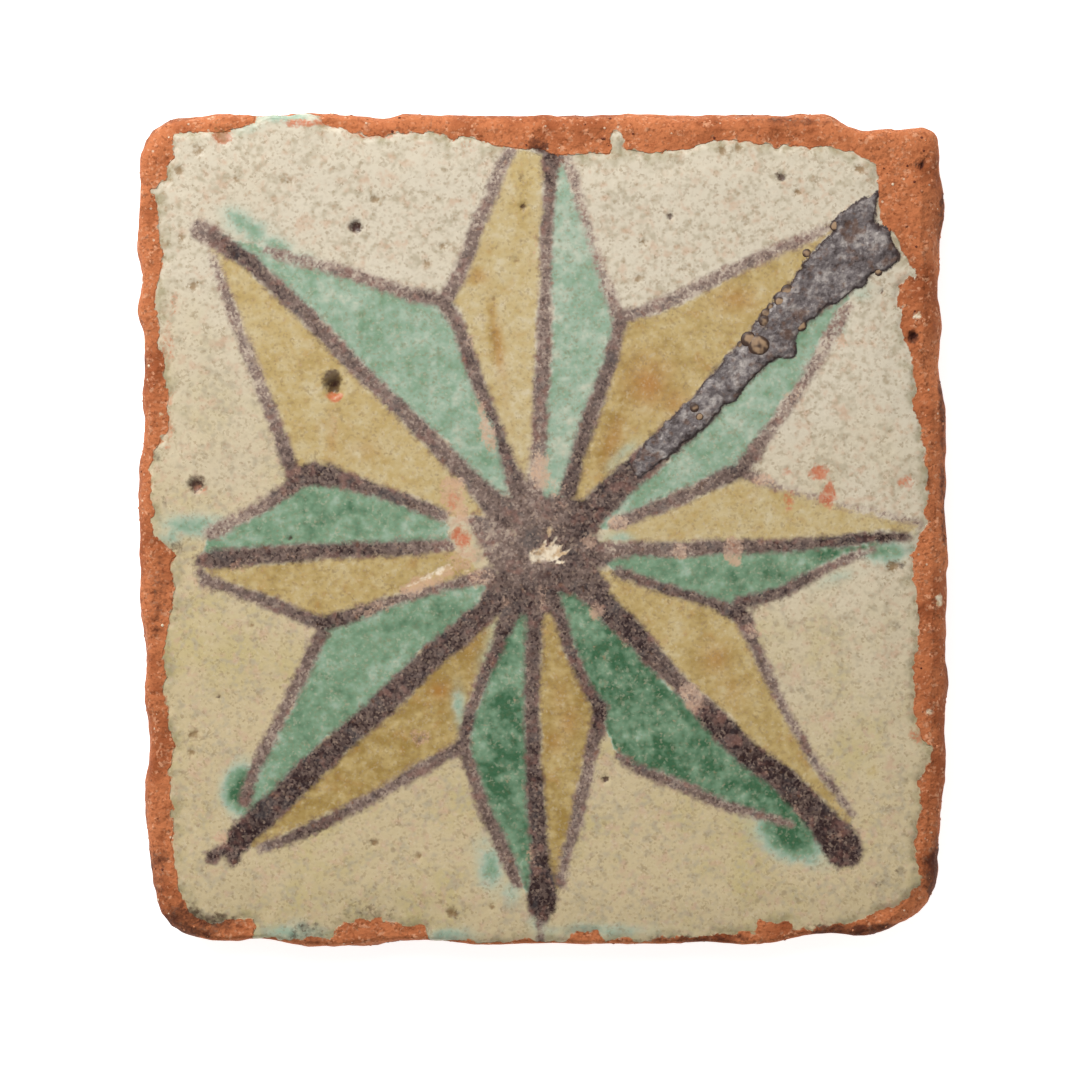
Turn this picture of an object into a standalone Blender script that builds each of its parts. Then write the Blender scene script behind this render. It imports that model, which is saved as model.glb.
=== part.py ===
"""An old hand-made tin-glazed tile, lying on its back.

The tile is one fired piece: a thick terracotta slab with the glaze melted on to its face. Wear has rounded
the front edge, so the glaze now stands as a thin plateau inside a rim of bare clay. One heavy brush stroke
dried thick enough to stand up from the glaze, and a few bubbles and knocks left pits. Metres, +Z up, +X to
the right and +Y up the face, with the origin under the middle of the back.
"""

import math

import bmesh
import bpy

MM = 0.001

# The slab
TILE_WIDTH = 131.5 * MM
TILE_LENGTH = 135.0 * MM
TILE_THICKNESS = 18.0 * MM
GLAZE_THICKNESS = 0.7 * MM
CORNER_RADII = {
    "lower_right": 12.0 * MM,
    "upper_right": 5.5 * MM,
    "upper_left": 8.5 * MM,
    "lower_left": 10.0 * MM,
}

# The sides, which are fullest part of the way up and lean in towards the back, where the knocks are shallower
BELLY_HEIGHT = 8.0 * MM
BACK_TAPER = 1.2 * MM
BACK_ROUND = 0.9 * MM
KNOCKS_AT_BACK = 0.65

# The worn front edge: how far each side is rounded in, and how far down the rounding goes
ARRIS_WEAR = {"left": 2.2 * MM, "right": 2.8 * MM, "bottom": 0.7 * MM, "top": 2.2 * MM}
ARRIS_DROP = 3.2 * MM

# The glaze that is left: its margin inside the slab on each side, and its corners
GLAZE_MARGIN = {"left": 3.5 * MM, "right": 4.2 * MM, "bottom": 1.3 * MM, "top": 4.2 * MM}
GLAZE_RADII = {
    "lower_right": 8.0 * MM,
    "upper_right": 4.0 * MM,
    "upper_left": 4.0 * MM,
    "lower_left": 7.0 * MM,
}
GLAZE_LIP = 0.25 * MM
GLAZE_KEY = 0.6 * MM

# Knocks in the slab: the place along the side as a share from its lower or left end, the reach to each side
# along it, and the depth. A depth below zero stands out.
SLAB_KNOCKS = {
    "left": [
        (0.03, 16.0 * MM, 2.8 * MM),
        (0.12, 12.0 * MM, 1.8 * MM),
        (0.24, 16.0 * MM, 1.8 * MM),
        (0.355, 9.0 * MM, 1.5 * MM),
        (0.50, 22.0 * MM, 0.6 * MM),
        (0.63, 11.0 * MM, 1.1 * MM),
        (0.71, 8.5 * MM, 1.3 * MM),
        (0.80, 6.0 * MM, 1.0 * MM),
        (0.95, 12.0 * MM, 0.4 * MM),
    ],
    "right": [
        (0.06, 16.0 * MM, 1.6 * MM),
        (0.15, 12.0 * MM, 0.7 * MM),
        (0.27, 9.0 * MM, 0.4 * MM),
        (0.525, 6.0 * MM, 0.4 * MM),
        (0.705, 8.5 * MM, 1.7 * MM),
        (0.785, 8.5 * MM, 1.7 * MM),
        (0.85, 9.0 * MM, 1.0 * MM),
        (0.975, 13.0 * MM, 2.7 * MM),
    ],
    "bottom": [
        (0.06, 9.0 * MM, 1.1 * MM),
        (0.14, 9.0 * MM, 1.2 * MM),
        (0.345, 11.0 * MM, 0.9 * MM),
        (0.55, 30.0 * MM, 0.35 * MM),
        (0.70, 8.0 * MM, 0.6 * MM),
        (0.86, 12.0 * MM, 2.0 * MM),
        (0.95, 9.0 * MM, 2.6 * MM),
    ],
    "top": [
        (0.05, 9.0 * MM, 0.5 * MM),
        (0.30, 4.5 * MM, 0.8 * MM),
        (0.46, 26.0 * MM, 0.5 * MM),
        (0.72, 26.0 * MM, 0.3 * MM),
        (0.905, 6.0 * MM, 2.4 * MM),
        (0.965, 8.0 * MM, 3.0 * MM),
    ],
}

# Knocks that took only the front edge, in the same form
ARRIS_KNOCKS = {
    "left": [(0.25, 9.0 * MM, 0.5 * MM), (0.57, 5.0 * MM, 0.6 * MM)],
    "right": [(0.57, 9.0 * MM, 1.0 * MM), (0.72, 6.0 * MM, 0.5 * MM), (0.87, 11.0 * MM, 1.5 * MM)],
    "bottom": [(0.30, 8.0 * MM, 0.4 * MM), (0.80, 9.0 * MM, 0.5 * MM)],
    "top": [(0.66, 15.0 * MM, 0.5 * MM), (0.84, 8.0 * MM, 0.6 * MM)],
}

# Where the glaze has broken back from its margin, in the same form
GLAZE_KNOCKS = {
    "left": [
        (0.07, 8.0 * MM, 0.9 * MM),
        (0.17, 9.0 * MM, 1.2 * MM),
        (0.27, 7.0 * MM, 1.6 * MM),
        (0.42, 7.0 * MM, 3.0 * MM),
        (0.55, 6.0 * MM, -1.4 * MM),
        (0.64, 8.0 * MM, 1.0 * MM),
        (0.755, 4.5 * MM, -1.3 * MM),
        (0.97, 6.0 * MM, 1.5 * MM),
    ],
    "right": [
        (0.10, 8.0 * MM, -0.8 * MM),
        (0.24, 4.0 * MM, -2.2 * MM),
        (0.35, 9.0 * MM, 0.6 * MM),
        (0.44, 5.0 * MM, 1.2 * MM),
        (0.55, 8.0 * MM, -1.0 * MM),
        (0.78, 9.0 * MM, 2.2 * MM),
        (0.90, 14.0 * MM, 5.8 * MM),
    ],
    "bottom": [
        (0.14, 5.0 * MM, 1.0 * MM),
        (0.28, 5.0 * MM, 1.5 * MM),
        (0.79, 5.0 * MM, 1.6 * MM),
        (0.90, 10.0 * MM, 0.8 * MM),
    ],
    "top": [
        (0.165, 8.0 * MM, -3.4 * MM),
        (0.235, 8.0 * MM, -3.4 * MM),
        (0.46, 7.0 * MM, 0.6 * MM),
        (0.545, 7.0 * MM, 2.7 * MM),
        (0.598, 3.0 * MM, -2.4 * MM),
        (0.65, 7.0 * MM, 2.0 * MM),
        (0.85, 12.0 * MM, 0.9 * MM),
        (0.94, 8.0 * MM, 2.2 * MM),
    ],
}

# The thick stroke: its line as shares of the half width and half length, its half widths, and its height
STROKE_LINE = [(0.33, 0.25), (0.41, 0.31), (0.53, 0.44), (0.635, 0.56), (0.73, 0.65), (0.775, 0.685)]
STROKE_HALF_WIDTHS = [1.6 * MM, 2.5 * MM, 3.2 * MM, 3.5 * MM, 4.4 * MM, 3.6 * MM]
STROKE_HEIGHT = 0.5 * MM
STROKE_SINK = 0.3 * MM

# Pits in the glaze: the place as shares of the half width and half length, then the radius across and down
PITS = [
    (-0.509, 0.339, 1.7 * MM, 1.5 * MM),
    (-0.455, 0.722, 1.0 * MM, 0.9 * MM),
    (-0.846, 0.104, 1.1 * MM, 0.9 * MM),
    (0.010, -0.055, 2.2 * MM, 0.8 * MM),
    (0.684, 0.107, 1.8 * MM, 0.8 * MM),
]

# How finely the outlines and round shapes are divided
SIDE_STEPS = 54
CORNER_STEPS = 6
ARRIS_STEPS = 4
PIT_SEGMENTS = 12
PIT_RINGS = 8
STROKE_BEVEL_RESOLUTION = 2

# The corners anticlockwise from the lower right: the name, its way along X and Y, and where its arc starts
CORNERS = [
    ("lower_right", 1, -1, -90),
    ("upper_right", 1, 1, 0),
    ("upper_left", -1, 1, 90),
    ("lower_left", -1, -1, 180),
]
SIDES = ("left", "right", "bottom", "top")
BODY_TOP = TILE_THICKNESS - GLAZE_THICKNESS


def hump(x):
    """A smooth hump: 1 at 0, falling to 0 at 1 and beyond."""
    return 0.5 + 0.5 * math.cos(math.pi * min(abs(x), 1.0))


def worn_depth(knocks, share, length):
    """How deep a side is knocked in at a share of its length."""
    return sum(depth * hump((share - place) * length / reach) for place, reach, depth in knocks)


def rounded_rectangle(insets, radii):
    """Points anticlockwise round the tile's plan, set in from each side, with each corner an arc."""
    reach = {
        1: {"x": TILE_WIDTH / 2 - insets["right"], "y": TILE_LENGTH / 2 - insets["top"]},
        -1: {"x": TILE_WIDTH / 2 - insets["left"], "y": TILE_LENGTH / 2 - insets["bottom"]},
    }
    arcs = []
    for name, way_x, way_y, first_angle in CORNERS:
        radius = radii[name]
        centre_x = way_x * (reach[way_x]["x"] - radius)
        centre_y = way_y * (reach[way_y]["y"] - radius)
        angles = [math.radians(first_angle + 90 * step / CORNER_STEPS) for step in range(CORNER_STEPS + 1)]
        arcs.append([(centre_x + radius * math.cos(a), centre_y + radius * math.sin(a)) for a in angles])
    points = []
    for arc, following in zip(arcs, arcs[1:] + arcs[:1]):
        points += arc
        (x0, y0), (x1, y1) = arc[-1], following[0]
        for step in range(1, SIDE_STEPS):
            share = step / SIDE_STEPS
            points.append((x0 + (x1 - x0) * share, y0 + (y1 - y0) * share))
    return points


def knocked_in(point, knocks, strength=1.0):
    """Moves a point of the plan in with the worn sides that it faces; the middle lines stay."""
    x, y = point
    across, along = 0.5 + x / TILE_WIDTH, 0.5 + y / TILE_LENGTH
    depth_x = strength * worn_depth(knocks["right" if x > 0 else "left"], along, TILE_LENGTH)
    depth_y = strength * worn_depth(knocks["top" if y > 0 else "bottom"], across, TILE_WIDTH)
    return x * (1 - depth_x / (TILE_WIDTH / 2)), y * (1 - depth_y / (TILE_LENGTH / 2))


def slab_ring(height, inset, knock_strength=1.0, wear=0.0, arris_strength=0.0):
    """One level of the slab: an inset all round, and how much of the knocks and of the edge's wear it has."""
    insets = {side: inset + wear * ARRIS_WEAR[side] for side in SIDES}
    ring = []
    for point in rounded_rectangle(insets, CORNER_RADII):
        x, y = knocked_in(knocked_in(point, SLAB_KNOCKS, knock_strength), ARRIS_KNOCKS, arris_strength)
        ring.append((x, y, height))
    return ring


def slab_rings():
    """The levels of the slab from the back to the bare front: back edge, belly, and the rounded arris."""
    rings = [
        slab_ring(0.0, BACK_TAPER + BACK_ROUND, KNOCKS_AT_BACK),
        slab_ring(BACK_ROUND, BACK_TAPER, KNOCKS_AT_BACK),
        slab_ring(BELLY_HEIGHT, 0.0),
    ]
    for step in range(ARRIS_STEPS + 1):
        angle = math.pi / 2 * step / ARRIS_STEPS
        rise = math.sin(angle)
        height = BODY_TOP - ARRIS_DROP * (1 - rise)
        rings.append(slab_ring(height, 0.0, wear=1 - math.cos(angle), arris_strength=rise))
    return rings


def glaze_rings():
    """The levels of the glaze: keyed into the clay, up its broken edge, and in over a soft lip."""
    levels = [
        (BODY_TOP - GLAZE_KEY, 0.0),
        (TILE_THICKNESS - GLAZE_LIP, 0.0),
        (TILE_THICKNESS, GLAZE_LIP),
    ]
    rings = []
    for height, lip in levels:
        insets = {side: GLAZE_MARGIN[side] + lip for side in SIDES}
        ring = []
        for point in rounded_rectangle(insets, GLAZE_RADII):
            x, y = knocked_in(knocked_in(point, SLAB_KNOCKS), GLAZE_KNOCKS)
            ring.append((x, y, height))
        rings.append(ring)
    return rings


def principled(name, colour, roughness):
    """A plain material with the part's colour and roughness."""
    material = bpy.data.materials.new(name)
    material.use_nodes = True
    shader = material.node_tree.nodes["Principled BSDF"]
    shader.inputs["Base Color"].default_value = (*colour, 1.0)
    shader.inputs["Roughness"].default_value = roughness
    shader.inputs["Metallic"].default_value = 0.0
    return material


def new_object(name, mesh, collection, material):
    """Puts a mesh in a collection, with one material and smooth faces between its sharp edges."""
    mesh.materials.append(material)
    mesh.shade_smooth()
    mesh.set_sharp_from_angle(angle=math.radians(35))
    made = bpy.data.objects.new(name, mesh)
    collection.objects.link(made)
    return made


def loft(name, rings, collection, material):
    """A closed solid through level rings that have the same number of points, flat at both ends."""
    bm = bmesh.new()
    levels = [[bm.verts.new(point) for point in ring] for ring in rings]
    for lower, upper in zip(levels, levels[1:]):
        for i in range(len(lower)):
            after = (i + 1) % len(lower)
            bm.faces.new((lower[i], lower[after], upper[after], upper[i]))
    bm.faces.new(levels[0][::-1])
    bm.faces.new(levels[-1])
    mesh = bpy.data.meshes.new(name)
    bm.to_mesh(mesh)
    bm.free()
    return new_object(name, mesh, collection, material)


def on_face(across, along):
    """A point of the face, from shares of the half width and half length."""
    return across * TILE_WIDTH / 2, along * TILE_LENGTH / 2


def thick_stroke(collection, material):
    """The raised stroke: a round tube along its line, pressed flat on to the glaze."""
    line = bpy.data.curves.new("thick_stroke_line", "CURVE")
    line.dimensions = "3D"
    line.bevel_depth = 1.0
    line.bevel_resolution = STROKE_BEVEL_RESOLUTION
    line.use_fill_caps = True
    line.resolution_u = 3
    spline = line.splines.new("BEZIER")
    spline.bezier_points.add(len(STROKE_LINE) - 1)
    for point, place, half_width in zip(spline.bezier_points, STROKE_LINE, STROKE_HALF_WIDTHS):
        point.co = (*on_face(*place), 0.0)
        point.radius = half_width
        point.handle_left_type = point.handle_right_type = "AUTO"
    tube = bpy.data.objects.new("thick_stroke_line", line)
    collection.objects.link(tube)
    bpy.context.view_layer.update()
    mesh = bpy.data.meshes.new_from_object(tube.evaluated_get(bpy.context.evaluated_depsgraph_get()))
    bpy.data.objects.remove(tube)
    bm = bmesh.new()
    bm.from_mesh(mesh)
    bmesh.ops.remove_doubles(bm, verts=bm.verts, dist=0.00001)
    flatness = (STROKE_HEIGHT + STROKE_SINK) / max(STROKE_HALF_WIDTHS)
    for vert in bm.verts:
        vert.co.z = TILE_THICKNESS - STROKE_SINK + vert.co.z * flatness
    bm.to_mesh(mesh)
    bm.free()
    mesh.materials.clear()
    return new_object("thick_stroke", mesh, collection, material)


def pit_cutter(collection, material):
    """The hollows that the pits take out of the glaze, as squashed balls on its surface."""
    bm = bmesh.new()
    for across, along, radius, depth in PITS:
        made = bmesh.ops.create_uvsphere(bm, u_segments=PIT_SEGMENTS, v_segments=PIT_RINGS, radius=1.0)
        x, y = on_face(across, along)
        for vert in made["verts"]:
            vert.co = (x + vert.co.x * radius, y + vert.co.y * radius, TILE_THICKNESS + vert.co.z * depth)
    mesh = bpy.data.meshes.new("pits")
    bm.to_mesh(mesh)
    bm.free()
    return new_object("pits", mesh, collection, material)


def combine(target, other, operation):
    """Joins another solid to the tile, or cuts it away, and takes the other's material along."""
    modifier = target.modifiers.new(other.name, "BOOLEAN")
    modifier.object = other
    modifier.operation = operation
    modifier.material_mode = "TRANSFER"
    other.hide_render = True
    other.display_type = "WIRE"


def main():
    for old in list(bpy.data.objects):
        bpy.data.objects.remove(old)
    tile_collection = bpy.data.collections.new("majolica_tile")
    helper_collection = bpy.data.collections.new("helpers")
    for collection in (tile_collection, helper_collection):
        bpy.context.scene.collection.children.link(collection)

    terracotta = principled("terracotta", (0.55, 0.20, 0.09), 0.85)
    tin_glaze = principled("tin_glaze", (0.62, 0.52, 0.36), 0.35)
    manganese = principled("manganese", (0.09, 0.06, 0.06), 0.45)

    tile = loft("majolica_tile", slab_rings(), tile_collection, terracotta)
    combine(tile, loft("glaze", glaze_rings(), helper_collection, tin_glaze), "UNION")
    combine(tile, thick_stroke(helper_collection, manganese), "UNION")
    combine(tile, pit_cutter(helper_collection, terracotta), "DIFFERENCE")


main()
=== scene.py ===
# %% [markdown]
# # An old tin-glazed tile
# This file dresses one hand-made wall tile: a thick slab of red clay under a cream tin glaze, painted with
# an eight-pointed star in purple-black, green and ochre. It is a lesson in cells. Each step first says what
# the real thing is and how it could be made, and then makes it.
#
# The solid tile is already there as a fixed frame. It is loaded first, and its box is kept.

# %% Load the frame
import math

import bpy
import numpy as np
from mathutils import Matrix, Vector
from mathutils.bvhtree import BVHTree


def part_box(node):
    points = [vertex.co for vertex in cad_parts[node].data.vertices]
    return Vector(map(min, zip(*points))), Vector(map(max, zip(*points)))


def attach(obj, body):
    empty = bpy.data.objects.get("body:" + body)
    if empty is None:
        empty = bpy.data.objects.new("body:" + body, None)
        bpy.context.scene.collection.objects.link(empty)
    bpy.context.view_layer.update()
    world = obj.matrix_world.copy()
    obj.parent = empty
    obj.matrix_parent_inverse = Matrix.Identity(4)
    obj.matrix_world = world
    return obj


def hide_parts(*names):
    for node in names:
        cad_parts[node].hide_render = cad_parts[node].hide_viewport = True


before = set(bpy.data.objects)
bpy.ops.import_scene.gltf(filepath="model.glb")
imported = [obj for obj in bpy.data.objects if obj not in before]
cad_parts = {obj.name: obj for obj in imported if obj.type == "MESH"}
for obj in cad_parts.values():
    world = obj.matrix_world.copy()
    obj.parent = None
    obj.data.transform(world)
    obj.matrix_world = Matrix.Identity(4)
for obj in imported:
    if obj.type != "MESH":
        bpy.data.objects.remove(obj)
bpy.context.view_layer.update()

MM = 0.001
NODE = "majolica_tile"
low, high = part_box(NODE)
print("tile", [round(length / MM, 1) for length in high - low], "mm")

# %% [markdown]
# ## Places on the face
# The painting is read from the photograph, whose frame is 1080 pixels square. So a place on the face
# is written as a photograph pixel, and one function turns it into millimetres from the tile's middle, X to
# the right and Y up the face. The pixel's size comes from the width of the solid tile, so the painting
# grows with it.

# %% From photograph pixels to the face
PHOTO_SIZE = 1080
PHOTO_MIDDLE = np.array([542.0, 529.5])
PHOTO_TILE_WIDTH = 813.25
PIXEL = (high.x - low.x) / MM / PHOTO_TILE_WIDTH
GLAZE_TOP = 18.0
GLAZE_THICKNESS = 0.7
BODY_TOP = GLAZE_TOP - GLAZE_THICKNESS


def on_face(pixels):
    """Photograph pixels as millimetres on the face; further columns, such as widths, stay as they are."""
    places = np.array(pixels, float)
    places[..., 0] = (places[..., 0] - PHOTO_MIDDLE[0]) * PIXEL
    places[..., 1] = (PHOTO_MIDDLE[1] - places[..., 1]) * PIXEL
    return places


print("one photograph pixel is", round(PIXEL, 4), "mm")

# %% [markdown]
# ## Camera, light and floor
# The photograph looks straight down on the tile, on a white ground with hardly any shadow. A long lens
# keeps the sides out of sight. The film is shown in the Standard view, so that a colour in a material comes
# out as itself. A bright even sky fills in, and one soft panel on the side of the star's top point gives
# the glaze its glare.

# %% Camera
LENS = 200.0
SENSOR = 36.0
FRAME_SHARE = 0.997
FRAME_WIDTH = PHOTO_SIZE * PIXEL * FRAME_SHARE

camera = bpy.data.objects.new("camera", bpy.data.cameras.new("camera"))
camera.data.lens = LENS
camera.data.sensor_width = SENSOR
aim = on_face([PHOTO_SIZE / 2, PHOTO_SIZE / 2])
camera.location = Vector((*aim, GLAZE_TOP + FRAME_WIDTH * LENS / SENSOR)) * MM
bpy.context.scene.collection.objects.link(camera)
bpy.context.scene.camera = camera
bpy.context.scene.view_settings.view_transform = "Standard"
print("camera", [round(place, 4) for place in camera.location])

# %% Light
SKY_STRENGTH = 0.42
KEY_PLACE = (-260.0, 460.0, 420.0)
KEY_SIZE = (460.0, 320.0)
KEY_WATTS = 4.1
GLARE_PLACE = (-10.0, 84.0, 640.0)
GLARE_SIZE = (190.0, 70.0)
GLARE_WATTS = 0.3


def panel(name, place, size, watts):
    """A soft rectangular light that faces the middle of the tile."""
    light = bpy.data.lights.new(name, "AREA")
    light.shape = "RECTANGLE"
    light.size, light.size_y = size[0] * MM, size[1] * MM
    light.energy = watts
    made = bpy.data.objects.new(name, light)
    made.location = Vector(place) * MM
    made.rotation_euler = Vector(place).to_track_quat("Z", "Y").to_euler()
    bpy.context.scene.collection.objects.link(made)


panel("window_panel", KEY_PLACE, KEY_SIZE, KEY_WATTS)
panel("glare_panel", GLARE_PLACE, GLARE_SIZE, GLARE_WATTS)
world = bpy.data.worlds.new("sky")
world.use_nodes = True
world.node_tree.nodes["Background"].inputs["Color"].default_value = (1.0, 1.0, 1.0, 1.0)
world.node_tree.nodes["Background"].inputs["Strength"].default_value = SKY_STRENGTH
bpy.context.scene.world = world

# %% [markdown]
# ## Shader maths as Python
# A glaze is a stack of many small effects. To keep them readable, one small class wraps a node's output, so
# that `mask * 0.5 + grain` adds the Math nodes it stands for. The graph adds every other node in one
# method: its settings first, then the values or links of its sockets.


# %% The shader graph
LIGHT_GAIN = 0.93
LIGHT_VEIL = 0.024
DARKEST = 0.004
CHANNEL_MIDDLE = 0.5
NOISE_GAIN = 4.0
GRAIN_GAIN = 2.0


def seen(red, green, blue):
    """The linear colour that a shader takes for one seen on the tile, 0 to 255. The light dims it a little,
    and the sky's reflection lies over it as a thin white veil, so both are taken off."""
    share = np.array([red, green, blue]) / 255
    linear = np.where(share <= 0.04045, share / 12.92, ((share + 0.055) / 1.055) ** 2.4)
    linear = np.clip((linear - LIGHT_VEIL) / LIGHT_GAIN, DARKEST, 1)
    return (*linear.tolist(), 1.0)


class Value:
    """One output in a shader graph that Python's operators work on."""

    def __init__(self, graph, socket):
        self.graph = graph
        self.socket = socket

    def __add__(self, other):
        return self.graph.maths("ADD", self, other)

    def __sub__(self, other):
        return self.graph.maths("SUBTRACT", self, other)

    def __rsub__(self, other):
        return self.graph.maths("SUBTRACT", other, self)

    def __mul__(self, other):
        return self.graph.maths("MULTIPLY", self, other)

    __radd__ = __add__
    __rmul__ = __mul__


class Graph:
    """A material and the nodes in it."""

    def __init__(self, name):
        self.material = bpy.data.materials.new(name)
        self.material.use_nodes = True
        self.tree = self.material.node_tree
        self.surface = self.tree.nodes["Principled BSDF"]
        place = self.node("ShaderNodeTexCoord", output="Object")
        self.place = self.node("ShaderNodeVectorMath", {"operation": "SCALE"}, {0: place, "Scale": 1 / MM})

    def feed(self, socket, value):
        """Links a value to a socket, or sets the socket to a plain number or colour."""
        if isinstance(value, Value):
            self.tree.links.new(value.socket, socket)
        else:
            socket.default_value = value

    def node(self, kind, settings=None, inputs=None, output=0):
        """Adds a node and gives one of its outputs."""
        made = self.tree.nodes.new(kind)
        for name, setting in (settings or {}).items():
            if name == "stops":
                self.set_stops(made.color_ramp.elements, setting)
            else:
                setattr(made, name, setting)
        for key, value in (inputs or {}).items():
            self.feed(made.inputs[key], value)
        return Value(self, made.outputs[output])

    def set_stops(self, elements, stops):
        """Gives a colour ramp its stops, in rising order; a new ramp has two already."""
        while len(elements) < len(stops):
            elements.new(1.0)
        for element, (position, colour) in zip(elements, stops):
            element.position = position
            element.color = colour

    def maths(self, operation, a, b=0.0):
        return self.node("ShaderNodeMath", {"operation": operation}, {0: a, 1: b})

    def step(self, value, start, end, low_value=0.0, high_value=1.0):
        """A smooth step as the value goes from start to end; it falls where end is the lower one."""
        if start > end:
            start, end, low_value, high_value = end, start, high_value, low_value
        inputs = {0: value, 1: start, 2: end, 3: low_value, 4: high_value}
        return self.node("ShaderNodeMapRange", {"interpolation_type": "SMOOTHSTEP"}, inputs)

    def mix(self, factor, first, second):
        """Two colours mixed by a factor."""
        return self.node("ShaderNodeMix", {"data_type": "RGBA"}, {0: factor, 6: first, 7: second}, 2)

    def tinted(self, colour, tint, pattern, start, end, share=1.0):
        """A colour with up to that share of a tint over it, where a pattern goes from start to end."""
        return self.mix(self.step(pattern, start, end) * share, colour, tint)

    def ramp(self, value, stops):
        """A colour for a value from 0 to 1, blended between stops of position and colour."""
        return self.node("ShaderNodeValToRGB", {"stops": stops}, {0: value})

    def channels(self, colour, gain):
        """A random colour's three channels as numbers about zero."""
        names = ("Red", "Green", "Blue")
        parts = [self.node("ShaderNodeSeparateColor", {}, {0: colour}, name) for name in names]
        return [(part - CHANNEL_MIDDLE) * gain for part in parts]

    def moved(self, shift):
        """The place, moved along, so that two patterns of one size don't lie on each other."""
        return self.node("ShaderNodeVectorMath", {"operation": "ADD"}, {0: self.place, 1: (shift,) * 3})

    def noises(self, size, detail, shift):
        """Three cloudy noises about -1 to 1, whose lumps are about that many millimetres apart."""
        inputs = {"Vector": self.moved(shift), "Scale": 1 / size, "Detail": detail}
        return self.channels(self.node("ShaderNodeTexNoise", {}, inputs, "Color"), NOISE_GAIN)

    def grains(self, size, shift):
        """Three random numbers from -1 to 1 for each grain; a grain is about that many millimetres wide."""
        inputs = {"Vector": self.moved(shift), "Scale": 1 / size}
        return self.channels(self.node("ShaderNodeTexVoronoi", {}, inputs, "Color"), GRAIN_GAIN)

    def spots(self, size):
        """The distance to the nearest of some scattered points, as a share of how far apart they are."""
        return self.node("ShaderNodeTexVoronoi", {}, {"Vector": self.place, "Scale": 1 / size})

    def painted(self, name):
        """A number that the mesh carries at each of its points."""
        return self.node("ShaderNodeAttribute", {"attribute_name": name}, output="Fac")

    def axis(self, name):
        """One coordinate of the place, in millimetres."""
        return self.node("ShaderNodeSeparateXYZ", {}, {0: self.place}, name)

    def bump(self, height):
        """Fine relief: a height in millimetres, as a change of the surface's normal."""
        made = self.node("ShaderNodeBump", {}, {"Height": height, "Distance": MM})
        self.feed(self.surface.inputs["Normal"], made)

    def finish(self, colour, roughness):
        """Sets the two looks that every material here has, and gives the material."""
        self.feed(self.surface.inputs["Base Color"], colour)
        self.feed(self.surface.inputs["Roughness"], roughness)
        return self.material


# %% Floor
FLOOR_HALF = 3000.0
FLOOR_DROP = 0.3
FLOOR_WHITE = (0.95, 0.95, 0.95, 1.0)
FLOOR_GLOW = 0.7
FLOOR_ROUGHNESS = 0.9

floor_mesh = bpy.data.meshes.new("floor")
floor_corners = [(-1, -1), (1, -1), (1, 1), (-1, 1)]
floor_points = [(x * FLOOR_HALF * MM, y * FLOOR_HALF * MM, -FLOOR_DROP * MM) for x, y in floor_corners]
floor_mesh.from_pydata(floor_points, [], [(0, 1, 2, 3)])
floor = bpy.data.objects.new("floor", floor_mesh)
bpy.context.scene.collection.objects.link(floor)
paper = Graph("white_paper")
floor_mesh.materials.append(paper.finish(FLOOR_WHITE, FLOOR_ROUGHNESS))
paper.surface.inputs["Emission Color"].default_value = (1.0, 1.0, 1.0, 1.0)
paper.surface.inputs["Emission Strength"].default_value = FLOOR_GLOW

# %% [markdown]
# ## The star
# The painter laid each point of the star with a few brush strokes: an axis from the middle to the tip, two
# outlines from the tip to the notches beside it, and an inner stroke from each notch back to the middle.
# The strokes below are lists of the few places that each one passes, with its width there in pixels and how
# much colour the brush left, from 0 to 1. The fills between them need no lists of their own: the
# anticlockwise half of each point is ochre and the other is green, and each half lies between an axis, an
# outline and an inner stroke.

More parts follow.
